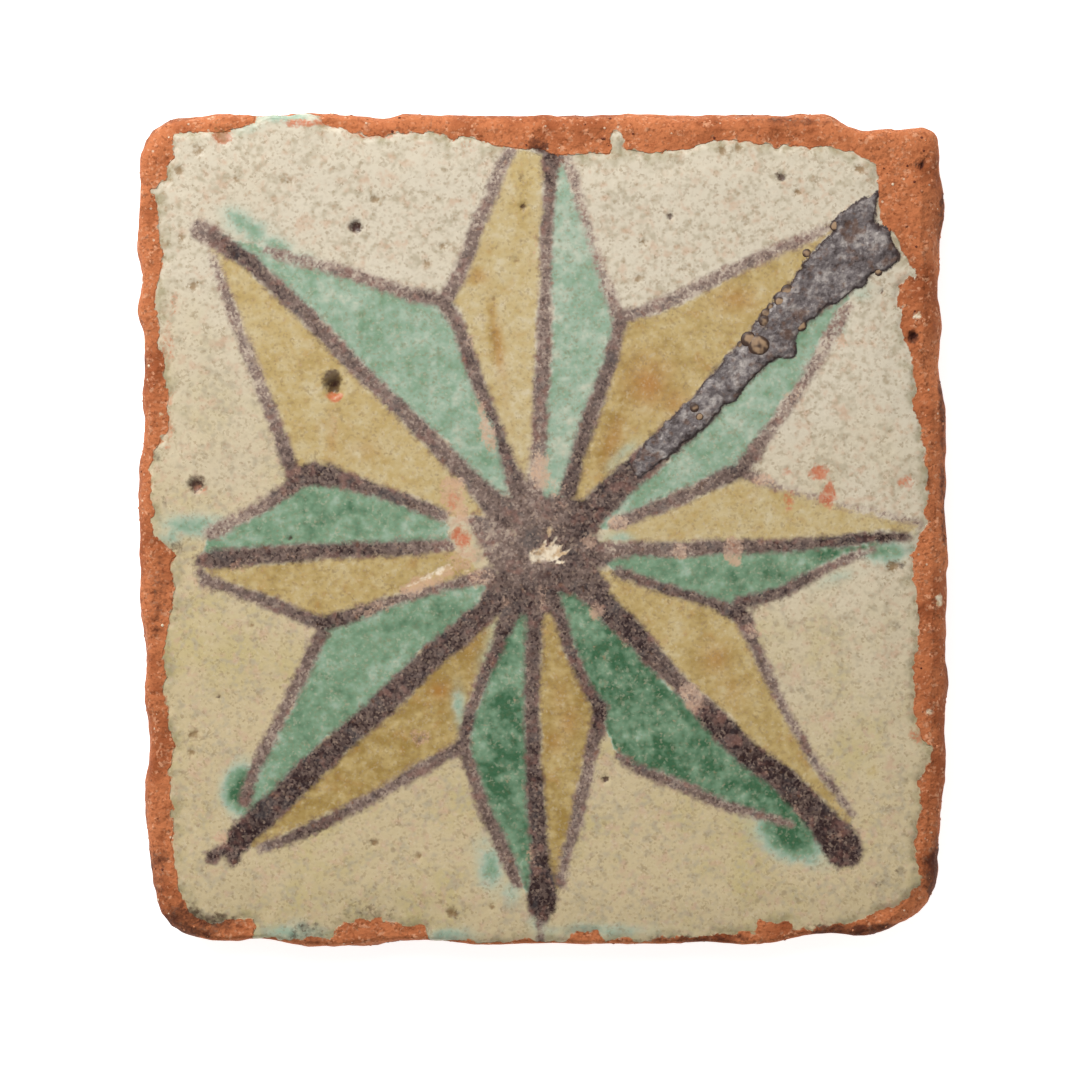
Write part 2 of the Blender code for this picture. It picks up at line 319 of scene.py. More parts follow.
# %% The axes, from the middle out
AXES = {
    "north": [
        (529, 540, 28, 0.7), (532, 500, 22, 0.5), (537, 470, 18, 0.34), (539, 439, 17, 0.5),
        (540, 415, 16, 0.55), (541, 392, 16, 0.56), (543, 360, 16, 0.55), (544, 335, 15, 0.52),
        (545, 295, 13, 0.5), (546, 260, 13, 0.52), (547, 230, 14, 0.62), (549, 200, 14, 0.66),
        (550, 174, 17, 0.8), (552, 158, 24, 0.9),
    ],
    "northeast": [
        (560, 540, 34, 0.8), (585, 517, 31, 0.85), (598, 506, 31, 0.85), (610, 494, 31, 0.85),
        (625, 479, 30, 0.85), (643, 464, 30, 0.85), (660, 448, 30, 0.88), (690, 421, 31, 0.9),
        (708, 403, 32, 0.9), (725, 381, 33, 0.9), (753, 354, 36, 0.9), (780, 323, 38, 0.9),
        (807, 297, 44, 0.9), (831, 273, 54, 0.9), (857, 248, 60, 0.9),
    ],
    "east": [
        (590, 552, 26, 0.6), (612, 551, 17, 0.5), (636, 549, 15, 0.58), (677, 549, 15, 0.6),
        (719, 547, 16, 0.72), (760, 546, 15, 0.78), (802, 544, 14, 0.8), (843, 541, 13, 0.88),
        (872, 538, 12, 0.95), (894, 537, 11, 0.9), (906, 536, 9, 0.7),
    ],
    "southeast": [
        (575, 570, 40, 0.7), (598, 597, 26, 0.85), (612, 613, 26, 0.92), (625, 625, 26, 0.95),
        (640, 641, 25, 0.9), (652, 655, 23, 0.85), (670, 674, 20, 0.7), (685, 689, 18, 0.6),
        (695, 700, 20, 0.55), (707, 712, 24, 0.9), (720, 726, 26, 0.95), (735, 741, 27, 0.95),
        (752, 757, 27, 0.95), (775, 773, 28, 0.95), (792, 788, 28, 0.97), (810, 807, 30, 0.97),
        (825, 825, 34, 1.0), (836, 838, 38, 1.0), (843, 848, 38, 0.95),
    ],
    "south": [
        (537, 590, 30, 0.8), (535, 620, 19, 0.8), (533, 660, 18, 0.76), (532, 700, 18, 0.74),
        (533, 740, 18, 0.85), (534, 775, 19, 0.92), (536, 800, 20, 0.92), (538, 825, 20, 0.92),
        (540, 848, 20, 0.9), (541, 868, 22, 0.95), (542, 888, 32, 0.98), (542, 903, 31, 0.97),
    ],
    "southwest": [
        (512, 582, 40, 0.8), (487, 610, 26, 0.85), (471, 623, 26, 0.85), (455, 638, 26, 0.85),
        (438, 651, 26, 0.85), (405, 684, 26, 0.85), (373, 714, 26, 0.85), (342, 741, 26, 0.9),
        (317, 764, 28, 0.92), (290, 790, 28, 0.95), (265, 814, 28, 0.97), (245, 832, 28, 0.97),
        (238, 842, 24, 0.95),
    ],
    "west": [
        (450, 546, 13, 0.4), (425, 547, 15, 0.64), (400, 548, 16, 0.75), (380, 549, 16, 0.78),
        (355, 550, 17, 0.8), (330, 551, 18, 0.8), (305, 553, 19, 0.8), (280, 555, 19, 0.8),
        (255, 556, 20, 0.8), (237, 558, 21, 0.8), (216, 559, 20, 0.78), (200, 561, 12, 0.7),
    ],
    "northwest": [
        (508, 516, 34, 0.7), (495, 505, 28, 0.7), (482, 492, 24, 0.66), (469, 478, 20, 0.62),
        (452, 461, 19, 0.6), (435, 443, 18, 0.6), (415, 424, 18, 0.6), (400, 409, 18, 0.6),
        (357, 368, 18, 0.62), (340, 350, 17, 0.64), (311, 320, 17, 0.66), (280, 291, 17, 0.7),
        (265, 277, 17, 0.76), (252, 264, 17, 0.84), (235, 253, 18, 0.86), (218, 241, 19, 0.62),
        (203, 231, 23, 0.42),
    ],
}

# %% The outlines, from each tip to the notches beside it
# Each is named for its point of the star and then for the side of it that the stroke is on.
OUTLINES = {
    "north_left": [
        (512, 150, 13, 0.35), (500, 172, 14, 0.42), (490, 200, 14, 0.45), (478, 226, 15, 0.45),
        (468, 255, 16, 0.5), (456, 283, 17, 0.55), (446, 300, 18, 0.6),
    ],
    "north_right": [
        (565, 160, 12, 0.4), (573, 178, 12, 0.35), (581, 206, 12, 0.3), (590, 237, 11, 0.16),
        (598, 262, 12, 0.22), (606, 285, 13, 0.36), (616, 312, 15, 0.5),
    ],
    "northeast_upper": [
        (828, 228, 9, 0.3), (803, 240, 13, 0.4), (766, 256, 14, 0.4), (723, 275, 14, 0.4),
        (680, 297, 14, 0.38), (645, 311, 13, 0.45), (618, 318, 13, 0.5),
    ],
    "northeast_lower": [
        (846, 308, 12, 0.2), (835, 327, 14, 0.34), (818, 358, 13, 0.3), (802, 384, 14, 0.4),
        (781, 415, 15, 0.42), (762, 440, 15, 0.5), (745, 464, 18, 0.65),
    ],
    "east_upper": [
        (918, 524, 6, 0.25), (880, 514, 7, 0.22), (850, 508, 7, 0.22), (812, 497, 8, 0.18),
        (775, 486, 8, 0.25), (745, 474, 13, 0.6),
    ],
    "east_lower": [
        (872, 550, 8, 0.4), (852, 557, 10, 0.5), (832, 565, 10, 0.56), (815, 573, 11, 0.62),
        (796, 584, 12, 0.76), (777, 593, 12, 0.84), (759, 598, 13, 0.84), (740, 603, 16, 0.85),
    ],
    "southeast_right": [
        (850, 812, 8, 0.5), (834, 789, 9, 0.5), (816, 765, 9, 0.5), (802, 741, 10, 0.5),
        (785, 712, 10, 0.5), (771, 682, 12, 0.55), (757, 652, 13, 0.6), (744, 620, 18, 0.75),
    ],
    "southeast_lower": [
        (790, 824, 8, 0.5), (756, 813, 10, 0.55), (727, 806, 11, 0.6), (699, 793, 12, 0.6),
        (670, 781, 12, 0.6), (640, 769, 11, 0.65), (618, 756, 9, 0.6),
    ],
    "south_right": [
        (560, 884, 10, 0.45), (565, 860, 12, 0.5), (570, 841, 13, 0.5), (576, 822, 13, 0.52),
        (580, 802, 14, 0.55), (585, 784, 14, 0.55), (589, 762, 14, 0.58), (593, 744, 15, 0.68),
        (598, 725, 17, 0.85), (599, 707, 18, 0.95),
    ],
    "south_left": [
        (517, 882, 12, 0.55), (508, 860, 14, 0.65), (497, 834, 15, 0.68), (485, 809, 15, 0.66),
        (474, 778, 14, 0.6), (464, 750, 15, 0.75),
    ],
    "southwest_lower": [
        (262, 847, 11, 0.55), (295, 835, 13, 0.75), (340, 814, 14, 0.72), (374, 796, 13, 0.55),
        (405, 778, 14, 0.6), (432, 762, 14, 0.68), (460, 747, 15, 0.75),
    ],
    "southwest_left": [
        (246, 800, 13, 0.7), (254, 772, 13, 0.6), (270, 740, 13, 0.55), (286, 708, 14, 0.52),
        (304, 671, 14, 0.58), (322, 634, 15, 0.7),
    ],
    "west_lower": [
        (206, 580, 12, 0.6), (235, 590, 13, 0.6), (269, 602, 14, 0.62), (296, 613, 15, 0.7),
        (323, 624, 17, 0.85),
    ],
    "west_upper": [(213, 533, 16, 0.4), (240, 519, 14, 0.42), (267, 504, 15, 0.55), (292, 487, 17, 0.75)],
    "northwest_left": [
        (214, 258, 10, 0.3), (226, 291, 12, 0.35), (240, 330, 13, 0.35), (254, 366, 14, 0.38),
        (266, 398, 14, 0.45), (279, 432, 15, 0.55), (294, 474, 18, 0.8),
    ],
    "northwest_upper": [
        (268, 251, 10, 0.25), (298, 261, 12, 0.36), (342, 272, 13, 0.38), (382, 285, 13, 0.4),
        (410, 295, 15, 0.55), (442, 301, 17, 0.68),
    ],
}

# %% The inner strokes, from each notch to the middle
INNERS = {
    "north_northeast": [
        (620, 322, 16, 0.65), (613, 350, 16, 0.62), (605, 378, 16, 0.68), (596, 402, 16, 0.72),
        (588, 425, 17, 0.75), (579, 452, 17, 0.8), (568, 492, 18, 0.85),
    ],
    "east_northeast": [
        (742, 470, 18, 0.8), (722, 478, 16, 0.75), (697, 490, 14, 0.62), (667, 503, 15, 0.65),
        (640, 514, 14, 0.62), (615, 524, 13, 0.45),
    ],
    "east_southeast": [
        (740, 616, 18, 0.85), (722, 607, 14, 0.8), (697, 598, 12, 0.82), (672, 591, 13, 0.85),
        (645, 582, 12, 0.8), (618, 572, 13, 0.7),
    ],
    "south_southeast": [
        (599, 707, 17, 0.95), (587, 688, 13, 0.85), (578, 668, 13, 0.85), (568, 645, 14, 0.8),
        (562, 624, 14, 0.8), (552, 600, 16, 0.8),
    ],
    "south_southwest": [
        (463, 745, 16, 0.8), (469, 718, 14, 0.78), (476, 697, 13, 0.72), (484, 674, 12, 0.75),
        (494, 655, 14, 0.85), (503, 632, 16, 0.85), (511, 606, 24, 0.74),
    ],
    "west_southwest": [
        (325, 623, 17, 0.9), (348, 617, 15, 0.85), (372, 608, 14, 0.75), (400, 598, 12, 0.6),
        (430, 590, 10, 0.5), (456, 583, 12, 0.55), (490, 575, 20, 0.6),
    ],
    "west_northwest": [
        (300, 478, 22, 0.85), (318, 474, 24, 0.85), (340, 479, 20, 0.8), (369, 488, 16, 0.75),
        (400, 498, 15, 0.74), (430, 510, 15, 0.7), (444, 516, 13, 0.4),
    ],
    "north_northwest": [
        (446, 305, 18, 0.75), (458, 325, 16, 0.65), (467, 350, 16, 0.65), (475, 375, 16, 0.7),
        (485, 398, 15, 0.68), (497, 425, 12, 0.72), (504, 448, 13, 0.75), (514, 478, 20, 0.75),
        (525, 500, 24, 0.66),
    ],
}

# %% Blots: where strokes met or the brush was set down and lifted
BLOTS = {
    "middle_mass": [
        (500, 548, 34, 0.52), (522, 562, 52, 0.62), (548, 556, 56, 0.66), (576, 552, 46, 0.84),
        (600, 556, 26, 0.8),
    ],
    "middle_top": [(506, 510, 30, 0.56), (530, 518, 38, 0.56), (560, 512, 36, 0.68), (582, 522, 38, 0.86)],
    "middle_foot": [(502, 590, 34, 0.8), (520, 600, 32, 0.84), (544, 598, 32, 0.8)],
    "middle_blue": [(556, 576, 34, 0.84), (584, 580, 30, 0.8), (598, 588, 24, 0.74)],
    "middle_left": [(474, 521, 15, 0.36), (494, 536, 38, 0.44)],
    "southwest_dot": [(213, 855, 15, 0.85), (222, 850, 13, 0.85), (234, 852, 18, 0.9)],
    "southwest_foot": [(236, 846, 20, 0.95), (234, 858, 15, 0.88)],
    "southeast_foot": [(848, 856, 22, 0.86), (838, 852, 20, 0.9)],
    "south_stub": [(542, 914, 20, 0.9), (540, 928, 8, 0.4), (541, 942, 10, 0.6)],
    "north_cap": [(540, 150, 10, 0.55), (562, 160, 12, 0.7)],
    "west_fork": [(201, 572, 9, 0.5), (212, 582, 10, 0.5)],
}
print(len(AXES), "axes,", len(OUTLINES), "outlines,", len(INNERS), "inner strokes,", len(BLOTS), "blots")

# %% [markdown]
# ## Washes, blots of colour and scars
# Green and ochre went on as thin washes, so each has a strength for each point of the star, and small blots
# where the wet colour ran over an outline or pooled. The scars are what time did: burst bubbles, pits,
# places rubbed through to the clay, and brown stains. The dark ovals over the pits and along the right and
# bottom edges are painted shade as well as stains. A pit is round. All the others are ovals, each with its
# middle and its two radii in photograph pixels, its lean in degrees, and its strength.

# %% Washes
# The outline and the inner stroke of the ochre half, then those of the green half, and both strengths
WASHES = {
    "north": ("north_left", "north_northwest", "north_right", "north_northeast", 0.46, 0.42),
    "northeast": ("northeast_upper", "north_northeast", "northeast_lower", "east_northeast", 0.66, 0.46),
    "east": ("east_upper", "east_northeast", "east_lower", "east_southeast", 0.50, 0.66),
    "southeast": ("southeast_right", "east_southeast", "southeast_lower", "south_southeast", 0.62, 0.82),
    "south": ("south_right", "south_southeast", "south_left", "south_southwest", 0.80, 0.74),
    "southwest": ("southwest_lower", "south_southwest", "southwest_left", "west_southwest", 0.82, 0.60),
    "west": ("west_lower", "west_southwest", "west_upper", "west_northwest", 0.64, 0.60),
    "northwest": ("northwest_left", "west_northwest", "northwest_upper", "north_northwest", 0.54, 0.46),
}
# Pools lie inside a wash, and deepen or thin it there
GREEN_POOLS = [
    (505, 725, 16, 28, 0, 1.0), (498, 785, 14, 34, -14, 0.92), (330, 508, 40, 15, 0, 0.7),
    (690, 725, 44, 34, 35, 0.76), (772, 788, 36, 18, 35, 0.98), (745, 572, 60, 16, -5, 0.72),
    (398, 385, 34, 18, 40, 0.5), (300, 740, 30, 50, 30, 0.65), (430, 610, 50, 18, -35, 0.66),
    (585, 640, 16, 40, -25, 0.85), (575, 225, 14, 50, 0, 0.34), (260, 245, 26, 16, 30, 0.5),
    (240, 522, 26, 10, 0, 0.72), (850, 552, 40, 10, 0, 0.9), (790, 350, 34, 14, -45, 0.56),
]
OCHRE_POOLS = [
    (440, 690, 30, 24, 0, 1.0), (715, 670, 30, 34, 40, 0.72), (492, 330, 6, 26, -8, 0.9),
    (476, 276, 7, 8, 0, 0.95), (650, 370, 34, 30, 0, 0.74), (612, 430, 14, 44, 20, 0.86),
    (320, 800, 44, 16, -25, 0.84), (522, 200, 14, 34, 10, 0.62), (560, 820, 12, 44, 0, 0.9),
    (470, 640, 18, 36, 15, 0.92), (585, 690, 8, 34, 0, 0.92), (320, 360, 40, 40, 0, 0.6),
    (690, 325, 40, 16, -20, 0.62), (285, 585, 30, 10, 0, 0.72), (790, 760, 20, 40, -20, 0.7),
]
# Bleeds are where the wet colour ran out over an outline
GREEN_BLEEDS = [
    (240, 222, 20, 14, 30, 0.46), (258, 235, 22, 13, 38, 0.44), (276, 248, 24, 12, 34, 0.52),
    (296, 262, 26, 12, 20, 0.40), (285, 117, 32, 8, 0, 0.5), (250, 128, 30, 10, 0, 0.24),
    (196, 526, 36, 12, 0, 0.48), (172, 536, 14, 9, 0, 0.42), (242, 788, 14, 20, 10, 1.35),
    (490, 864, 14, 26, -10, 0.5), (512, 890, 12, 14, 0, 0.36), (790, 834, 32, 18, 30, 1.25),
    (882, 551, 24, 11, 0, 0.75), (836, 325, 10, 17, 20, 0.34), (835, 577, 36, 9, -18, 0.24),
    (296, 931, 36, 9, 0, 0.34), (450, 934, 26, 8, 0, 0.42), (600, 930, 64, 9, 0, 0.32),
    (300, 925, 12, 8, 0, 0.34), (460, 708, 8, 26, -8, 0.42), (860, 292, 16, 12, 0, 0.3),
    (538, 922, 14, 20, 0, 0.3), (548, 130, 12, 12, 0, 0.2), (495, 650, 14, 40, 10, 0.30),
    (622, 455, 26, 8, -45, 0.26), (620, 538, 18, 8, 0, 0.34), (938, 471, 5, 7, 0, 0.6),
]
OCHRE_BLEEDS = [(870, 770, 12, 12, 0, 0.5), (200, 700, 30, 40, 0, 0.12), (560, 905, 60, 20, 0, 0.12)]
print(len(WASHES) * 2, "washes,", len(GREEN_POOLS) + len(OCHRE_POOLS), "pools of colour")

# %% Scars
# Middle and radius in photograph pixels, and depth in millimetres
PITS = [
    (335, 388, 12.0, 1.1), (357, 228, 7.5, 0.7), (197, 486, 9.0, 0.6), (523, 207, 6.0, 0.4),
    (522, 179, 4.0, 0.3), (443, 247, 4.0, 0.3), (427, 263, 4.0, 0.25), (670, 217, 5.5, 0.35),
    (644, 244, 5.0, 0.3), (638, 279, 5.0, 0.25), (686, 270, 5.5, 0.2), (781, 178, 6.0, 0.4),
    (722, 152, 5.0, 0.3), (738, 149, 5.0, 0.3), (797, 193, 4.5, 0.3), (858, 170, 6.0, 0.2),
    (745, 224, 3.5, 0.3), (881, 292, 3.5, 0.4), (222, 136, 9.0, 0.2), (199, 152, 7.0, 0.2),
    (180, 172, 6.0, 0.2), (237, 180, 4.5, 0.3), (290, 183, 4.5, 0.3), (375, 200, 5.0, 0.3),
    (183, 238, 5.5, 0.3), (195, 286, 5.0, 0.3), (291, 538, 4.0, 0.5), (252, 625, 4.5, 0.3),
    (219, 696, 3.5, 0.5), (195, 734, 6.0, 0.3), (192, 753, 5.0, 0.2), (375, 842, 5.0, 0.3),
    (605, 778, 4.5, 0.4), (419, 856, 4.0, 0.3), (492, 905, 4.0, 0.3), (452, 912, 7.0, 0.3),
    (516, 260, 4.0, 0.3), (494, 299, 4.0, 0.3), (892, 567, 6.0, 0.2), (913, 337, 6.0, 0.9),
    (922, 166, 6.0, 0.5),
]
# Rubbed through to the red clay
BARE_SPOTS = [
    (817, 473, 12, 11, 0, 0.9), (828, 498, 9, 16, 0, 0.85), (785, 472, 7, 6, 0, 0.65),
    (788, 500, 6, 12, 0, 0.65), (850, 487, 9, 15, 0, 0.25), (905, 482, 9, 9, 0, 0.65),
    (460, 535, 9, 13, -30, 0.95), (453, 501, 7, 11, 0, 0.55), (731, 548, 6, 8, 0, 0.3),
    (915, 735, 9, 12, 0, 0.6), (335, 397, 10, 6, 0, 0.95), (335, 424, 4, 18, 0, 0.3),
    (200, 489, 8, 5, 0, 0.6), (222, 136, 11, 10, 0, 0.9), (881, 293, 3, 3, 0, 0.7),
    (168, 345, 7, 24, 0, 0.5), (170, 420, 7, 30, 0, 0.4), (176, 300, 6, 16, 0, 0.4),
    (858, 170, 6, 5, 0, 0.3), (308, 124, 34, 5, 0, 0.8), (382, 137, 24, 4, 0, 0.6),
    (468, 146, 14, 7, 20, 0.4),
]
# Worn thin, so that the strokes and washes are faint and the ground shows pinkish
WORN_SPOTS = [
    (540, 468, 10, 26, -4, 0.9), (486, 428, 8, 30, -14, 0.8), (454, 500, 13, 30, -16, 0.9),
    (462, 560, 16, 14, 0, 0.7), (425, 582, 34, 9, -20, 0.9), (478, 576, 18, 10, -10, 0.6),
    (618, 523, 12, 10, 0, 0.8), (588, 542, 8, 7, 0, 0.9), (598, 612, 10, 9, 0, 0.9),
    (692, 697, 12, 17, -40, 0.85), (678, 551, 10, 10, 0, 0.85), (731, 548, 12, 16, 0, 0.95),
    (223, 838, 8, 7, 0, 0.8), (418, 737, 11, 11, 0, 0.6), (531, 853, 5, 11, 0, 0.6),
    (503, 604, 8, 7, 0, 0.6), (541, 600, 5, 18, 0, 0.6), (372, 608, 24, 8, -15, 0.6),
    (762, 479, 12, 8, 0, 0.8), (751, 630, 9, 12, 0, 0.5), (560, 500, 10, 22, 0, 0.4),
    (838, 343, 8, 10, 0, 0.6), (792, 395, 8, 10, 0, 0.5), (628, 638, 8, 10, 0, 0.4),
    (795, 810, 8, 8, 0, 0.3), (838, 838, 7, 6, 0, 0.5), (300, 472, 14, 6, 0, 0.4),
    (470, 344, 7, 10, 0, 0.5), (536, 250, 5, 16, 0, 0.4), (660, 640, 10, 12, 0, 0.35),
    (300, 556, 14, 6, 0, 0.4), (240, 566, 10, 6, 0, 0.5),
]
# Chalky white and pale cream chips
PALE_SPOTS = [
    (536, 555, 9, 8, 0, 0.8), (551, 553, 12, 9, -20, 0.72), (549, 556, 7, 5, 10, 1.0),
    (543, 547, 2.2, 9, 20, 0.8), (551, 545, 2.0, 11, 35, 0.85), (557, 549, 1.8, 11, 48, 0.9),
    (562, 554, 1.8, 11, 62, 0.9), (559, 562, 8, 2.2, 20, 0.85), (550, 531, 4, 6, 20, 0.6),
    (939, 600, 5, 6, 0, 0.95), (917, 317, 5, 4, 0, 0.95), (161, 414, 4, 4, 0, 0.7),
    (443, 570, 13, 4, -22, 0.8), (428, 577, 10, 3.5, -25, 0.7), (412, 584, 9, 3, -20, 0.5),
    (465, 571, 6, 2.5, 0, 0.5), (478, 574, 4, 2, 0, 0.5), (624, 522, 4, 3, 0, 0.4),
    (587, 541, 3, 3, 0, 0.35), (928, 712, 5, 4, 0, 0.6), (213, 118, 9, 3, 0, 0.4),
    (536, 440, 5, 8, 0, 0.25), (762, 330, 5, 3, 0, 0.3), (838, 281, 16, 2.5, 15, 0.35),
]
# Brown and olive stains. The ones over the pits and the long thin ones along the right and bottom edges are
# painted shade as well.
STAINS_AND_SHADE = [
    (335, 380, 14, 10, 0, 0.95), (357, 228, 8, 8, 0, 0.8), (197, 485, 10, 9, 0, 0.75),
    (880, 883, 8, 6, 0, 0.5), (900, 870, 6, 6, 0, 0.5), (417, 738, 9, 8, 0, 0.5), (538, 147, 11, 9, 0, 0.8),
    (185, 920, 22, 24, -30, 0.75), (160, 600, 12, 42, 0, 0.45), (179, 547, 7, 5, 0, 0.7),
    (452, 912, 8, 8, 0, 0.5), (200, 480, 7, 5, 0, 0.4), (544, 574, 7, 4, 0, 0.9), (892, 567, 8, 7, 0, 0.4),
    (901, 566, 4, 4, 0, 0.8), (165, 500, 5, 5, 0, 0.5), (159, 457, 5, 5, 0, 0.5),
    (155, 880, 12, 40, 10, 0.5), (222, 125, 12, 6, 0, 0.3), (780, 177, 7, 6, 0, 0.4),
    (913, 338, 7, 6, 0, 0.9), (524, 207, 6, 5, 0, 0.6), (918, 166, 9, 3, 15, 0.8), (523, 178, 5, 4, 0, 0.5),
    (944, 215, 4, 40, 0, 0.7), (943, 410, 6, 40, 0, 0.7), (944, 500, 5, 60, 0, 0.6),
    (936, 880, 14, 40, 0, 0.9), (870, 930, 60, 8, 0, 0.85), (700, 938, 60, 5, 0, 0.6),
    (800, 122, 46, 6, 0, 0.55), (200, 925, 40, 14, 0, 0.7), (310, 930, 20, 12, 0, 0.5),
    (370, 911, 26, 8, 0, 0.4), (844, 440, 5, 5, 0, 0.45), (897, 626, 5, 5, 0, 0.45),
    (870, 612, 4, 4, 0, 0.4), (413, 738, 9, 9, 0, 0.35), (604, 778, 4, 4, 0, 0.5), (375, 842, 5, 5, 0, 0.5),
    (142, 362, 5, 8, 0, 0.8), (918, 165, 10, 4, 15, 0.5),
]
# Rusty places in the ochre
RUST_PATCHES = [
    (648, 384, 20, 22, 0, 0.9), (674, 404, 14, 16, 0, 0.6), (735, 300, 20, 12, 0, 0.55),
    (612, 440, 10, 24, 20, 0.6), (499, 350, 5, 40, -8, 0.6), (478, 277, 9, 8, 0, 0.6),
    (333, 436, 5, 24, 0, 0.45), (365, 450, 18, 10, 0, 0.3), (440, 690, 11, 9, 0, 0.8),
    (715, 658, 14, 14, 0, 0.6), (556, 742, 10, 10, 0, 0.5), (568, 722, 8, 14, 0, 0.5),
    (730, 690, 16, 16, 0, 0.3), (560, 700, 8, 20, 0, 0.3), (470, 640, 10, 18, 0, 0.3),
]
scars = {"pits": PITS, "bare": BARE_SPOTS, "worn": WORN_SPOTS, "pale": PALE_SPOTS, "stains": STAINS_AND_SHADE}
print("scars:", {name: len(rows) for name, rows in scars.items()})

# %% [markdown]
# ## One skin for the whole tile
# The tile is one fired piece, so its skin is one closed mesh. A flat patch of small squares covers the
# middle of the face, where the painting is. From the patch's edge, rows of points fan out to the worn front
# edge, over it, down the sides and in under the back, where bigger squares are enough. Every row's reach is
# found by shooting rays at the solid tile from outside, so the skin keeps the solid's outline at every
# height.

# %% Sizes of the skin's parts
PATCH_HALF = (54.0, 56.0)
PATCH_SQUARES = (224, 232)
BACK_SQUARES = (56, 58)
FAN_ROWS = 18
ARRIS_ROWS = 8
ARRIS_DROP = 3.2
SIDE_HEIGHTS = [13.0, 11.8, 10.6, 9.4, 8.2, 7.0, 5.8, 4.6, 3.4, 2.3, 1.4, 0.8, 0.35, 0.0]
BACK_ROWS = [0.985, 0.95, 0.91]
RAY_START = 120.0
RAY_MARGIN = 0.05


def patch(half, squares):
    """A flat grid of squares: its points, its faces, and its rim anticlockwise from the lower left."""
    across, along = squares
    xs = np.linspace(-half[0], half[0], across + 1)
    ys = np.linspace(-half[1], half[1], along + 1)
    points = np.stack(np.meshgrid(xs, ys), axis=-1).reshape(-1, 2)

    def index(i, j):
        return j * (across + 1) + i

    faces = [
        (index(i, j), index(i + 1, j), index(i + 1, j + 1), index(i, j + 1))
        for j in range(along)
        for i in range(across)
    ]
    rim = [index(i, 0) for i in range(across)] + [index(across, j) for j in range(along)]
    rim += [index(i, along) for i in range(across, 0, -1)] + [index(0, j) for j in range(along, 0, -1)]
    return points, faces, rim


front_points, front_faces, front_rim = patch(PATCH_HALF, PATCH_SQUARES)
rim_points = front_points[front_rim]
ways = rim_points / np.linalg.norm(rim_points, axis=1)[:, None]
COLUMNS = len(ways)
print("front patch", len(front_faces), "squares,", COLUMNS, "columns round it")

# %% The solid's reach at any height
CORNER_KNOB = (929, 143)
KNOB_RADIUS = 4.5
KNOB_HEIGHT = 1.9

solid = BVHTree.FromObject(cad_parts[NODE], bpy.context.evaluated_depsgraph_get())


def reach(height):
    """How far the solid tile reaches from its middle in each column's direction, in millimetres. One corner
    of the real tile is a little sharper than the solid's, so it gets a small knob."""
    height = min(max(height, RAY_MARGIN), BODY_TOP - RAY_MARGIN)
    found = []
    for across, along in ways:
        start = Vector((across * RAY_START, along * RAY_START, height)) * MM
        hit = solid.ray_cast(start, Vector((-across, -along, 0.0)))[0]
        found.append(hit.xy.length / MM)
    found = np.array(found)
    from_knob = np.linalg.norm(ways * found[:, None] - on_face(CORNER_KNOB), axis=1)
    return found + KNOB_HEIGHT * np.exp(-((from_knob / KNOB_RADIUS) ** 2))


top_reach = reach(BODY_TOP)
print("clay reaches", top_reach.min().round(1), "to", top_reach.max().round(1), "mm from the middle")

# %% Noise in Python
# Relief in the mesh needs the same sort of noise that shaders have: random numbers on a lattice, blended.
HASH_STRIDES = np.array([73856093, 19349663, 83492791])
SEED_STRIDE = 2654435761
HASH_STIRS = ((15, 0x2C1B3C6D), (12, 0x297A2D39))
HASH_LAST = 15
HASH_MASK = 0xFFFFFFFF


def hashed(cells, seed):
    """A fixed random number from 0 to 1 for each lattice cell."""
    mixed = (cells @ HASH_STRIDES + seed * SEED_STRIDE) & HASH_MASK
    for shift, factor in HASH_STIRS:
        mixed = (mixed ^ (mixed >> shift)) * factor & HASH_MASK
    return (mixed ^ (mixed >> HASH_LAST)) / HASH_MASK


def cloud(points, size, seed):
    """Smooth noise from -1 to 1, with lumps about that many millimetres apart."""
    scaled = points / size
    cells = np.floor(scaled).astype(np.int64)
    share = scaled - cells
    share = share * share * (3 - 2 * share)
    total = np.zeros(len(points))
    for corner in np.ndindex(2, 2, 2):
        weight = np.where(corner, share, 1 - share).prod(axis=1)
        total += weight * hashed(cells + corner, seed)
    return total * 2 - 1


def clouds(points, layers, lift=0.0):
    """The sum of noises of several sizes, each with its depth and seed; the lift moves their middle."""
    return sum(depth * (cloud(points, size, seed) + lift) for size, depth, seed in layers)


def smooth(values, start, end):
    """0 up to start, 1 from end, and a smooth rise between."""
    share = np.clip((values - start) / (end - start), 0, 1)
    return share * share * (3 - 2 * share)


# %% Rows of the skin
points = [np.column_stack([front_points, np.full(len(front_points), BODY_TOP)])]
faces = list(front_faces)
row_starts = []


def add_row(flat_points, height):
    """Adds a ring of points at one height and keeps where it starts."""
    row_starts.append(sum(len(part) for part in points))
    points.append(np.column_stack([flat_points, np.full(len(flat_points), height)]))


top_points = ways * top_reach[:, None]
for row in range(1, FAN_ROWS + 1):
    add_row(rim_points + (top_points - rim_points) * row / FAN_ROWS, BODY_TOP)
for row in range(1, ARRIS_ROWS + 1):
    height = BODY_TOP - ARRIS_DROP * (1 - math.cos(math.pi / 2 * row / ARRIS_ROWS))
    add_row(ways * reach(height)[:, None], height)
for height in SIDE_HEIGHTS:
    add_row(ways * reach(height)[:, None], height)
foot = ways * reach(0.0)[:, None]
side_rows = len(row_starts)

back_points, back_faces, back_rim = patch(PATCH_HALF, BACK_SQUARES)
every = COLUMNS // len(back_rim)
for inset in BACK_ROWS:
    add_row(foot[::every] * inset, 0.0)
back_start = sum(len(part) for part in points)
points.append(np.column_stack([back_points, np.zeros(len(back_points))]))
skin = np.concatenate(points)
print("skin has", len(skin), "points in", len(row_starts), "rows and two patches")


# %% Faces of the skin
def join(inner, outer):
    """Faces between two rings that have the same number of points, facing away from the tile."""
    after = np.roll(np.arange(len(inner)), -1)
    faces.extend(zip(inner, outer, outer[after], inner[after]))


rings = [np.array(front_rim)]
rings += [start + np.arange(COLUMNS) for start in row_starts[:side_rows]]
for inner, outer in zip(rings, rings[1:]):
    join(inner, outer)

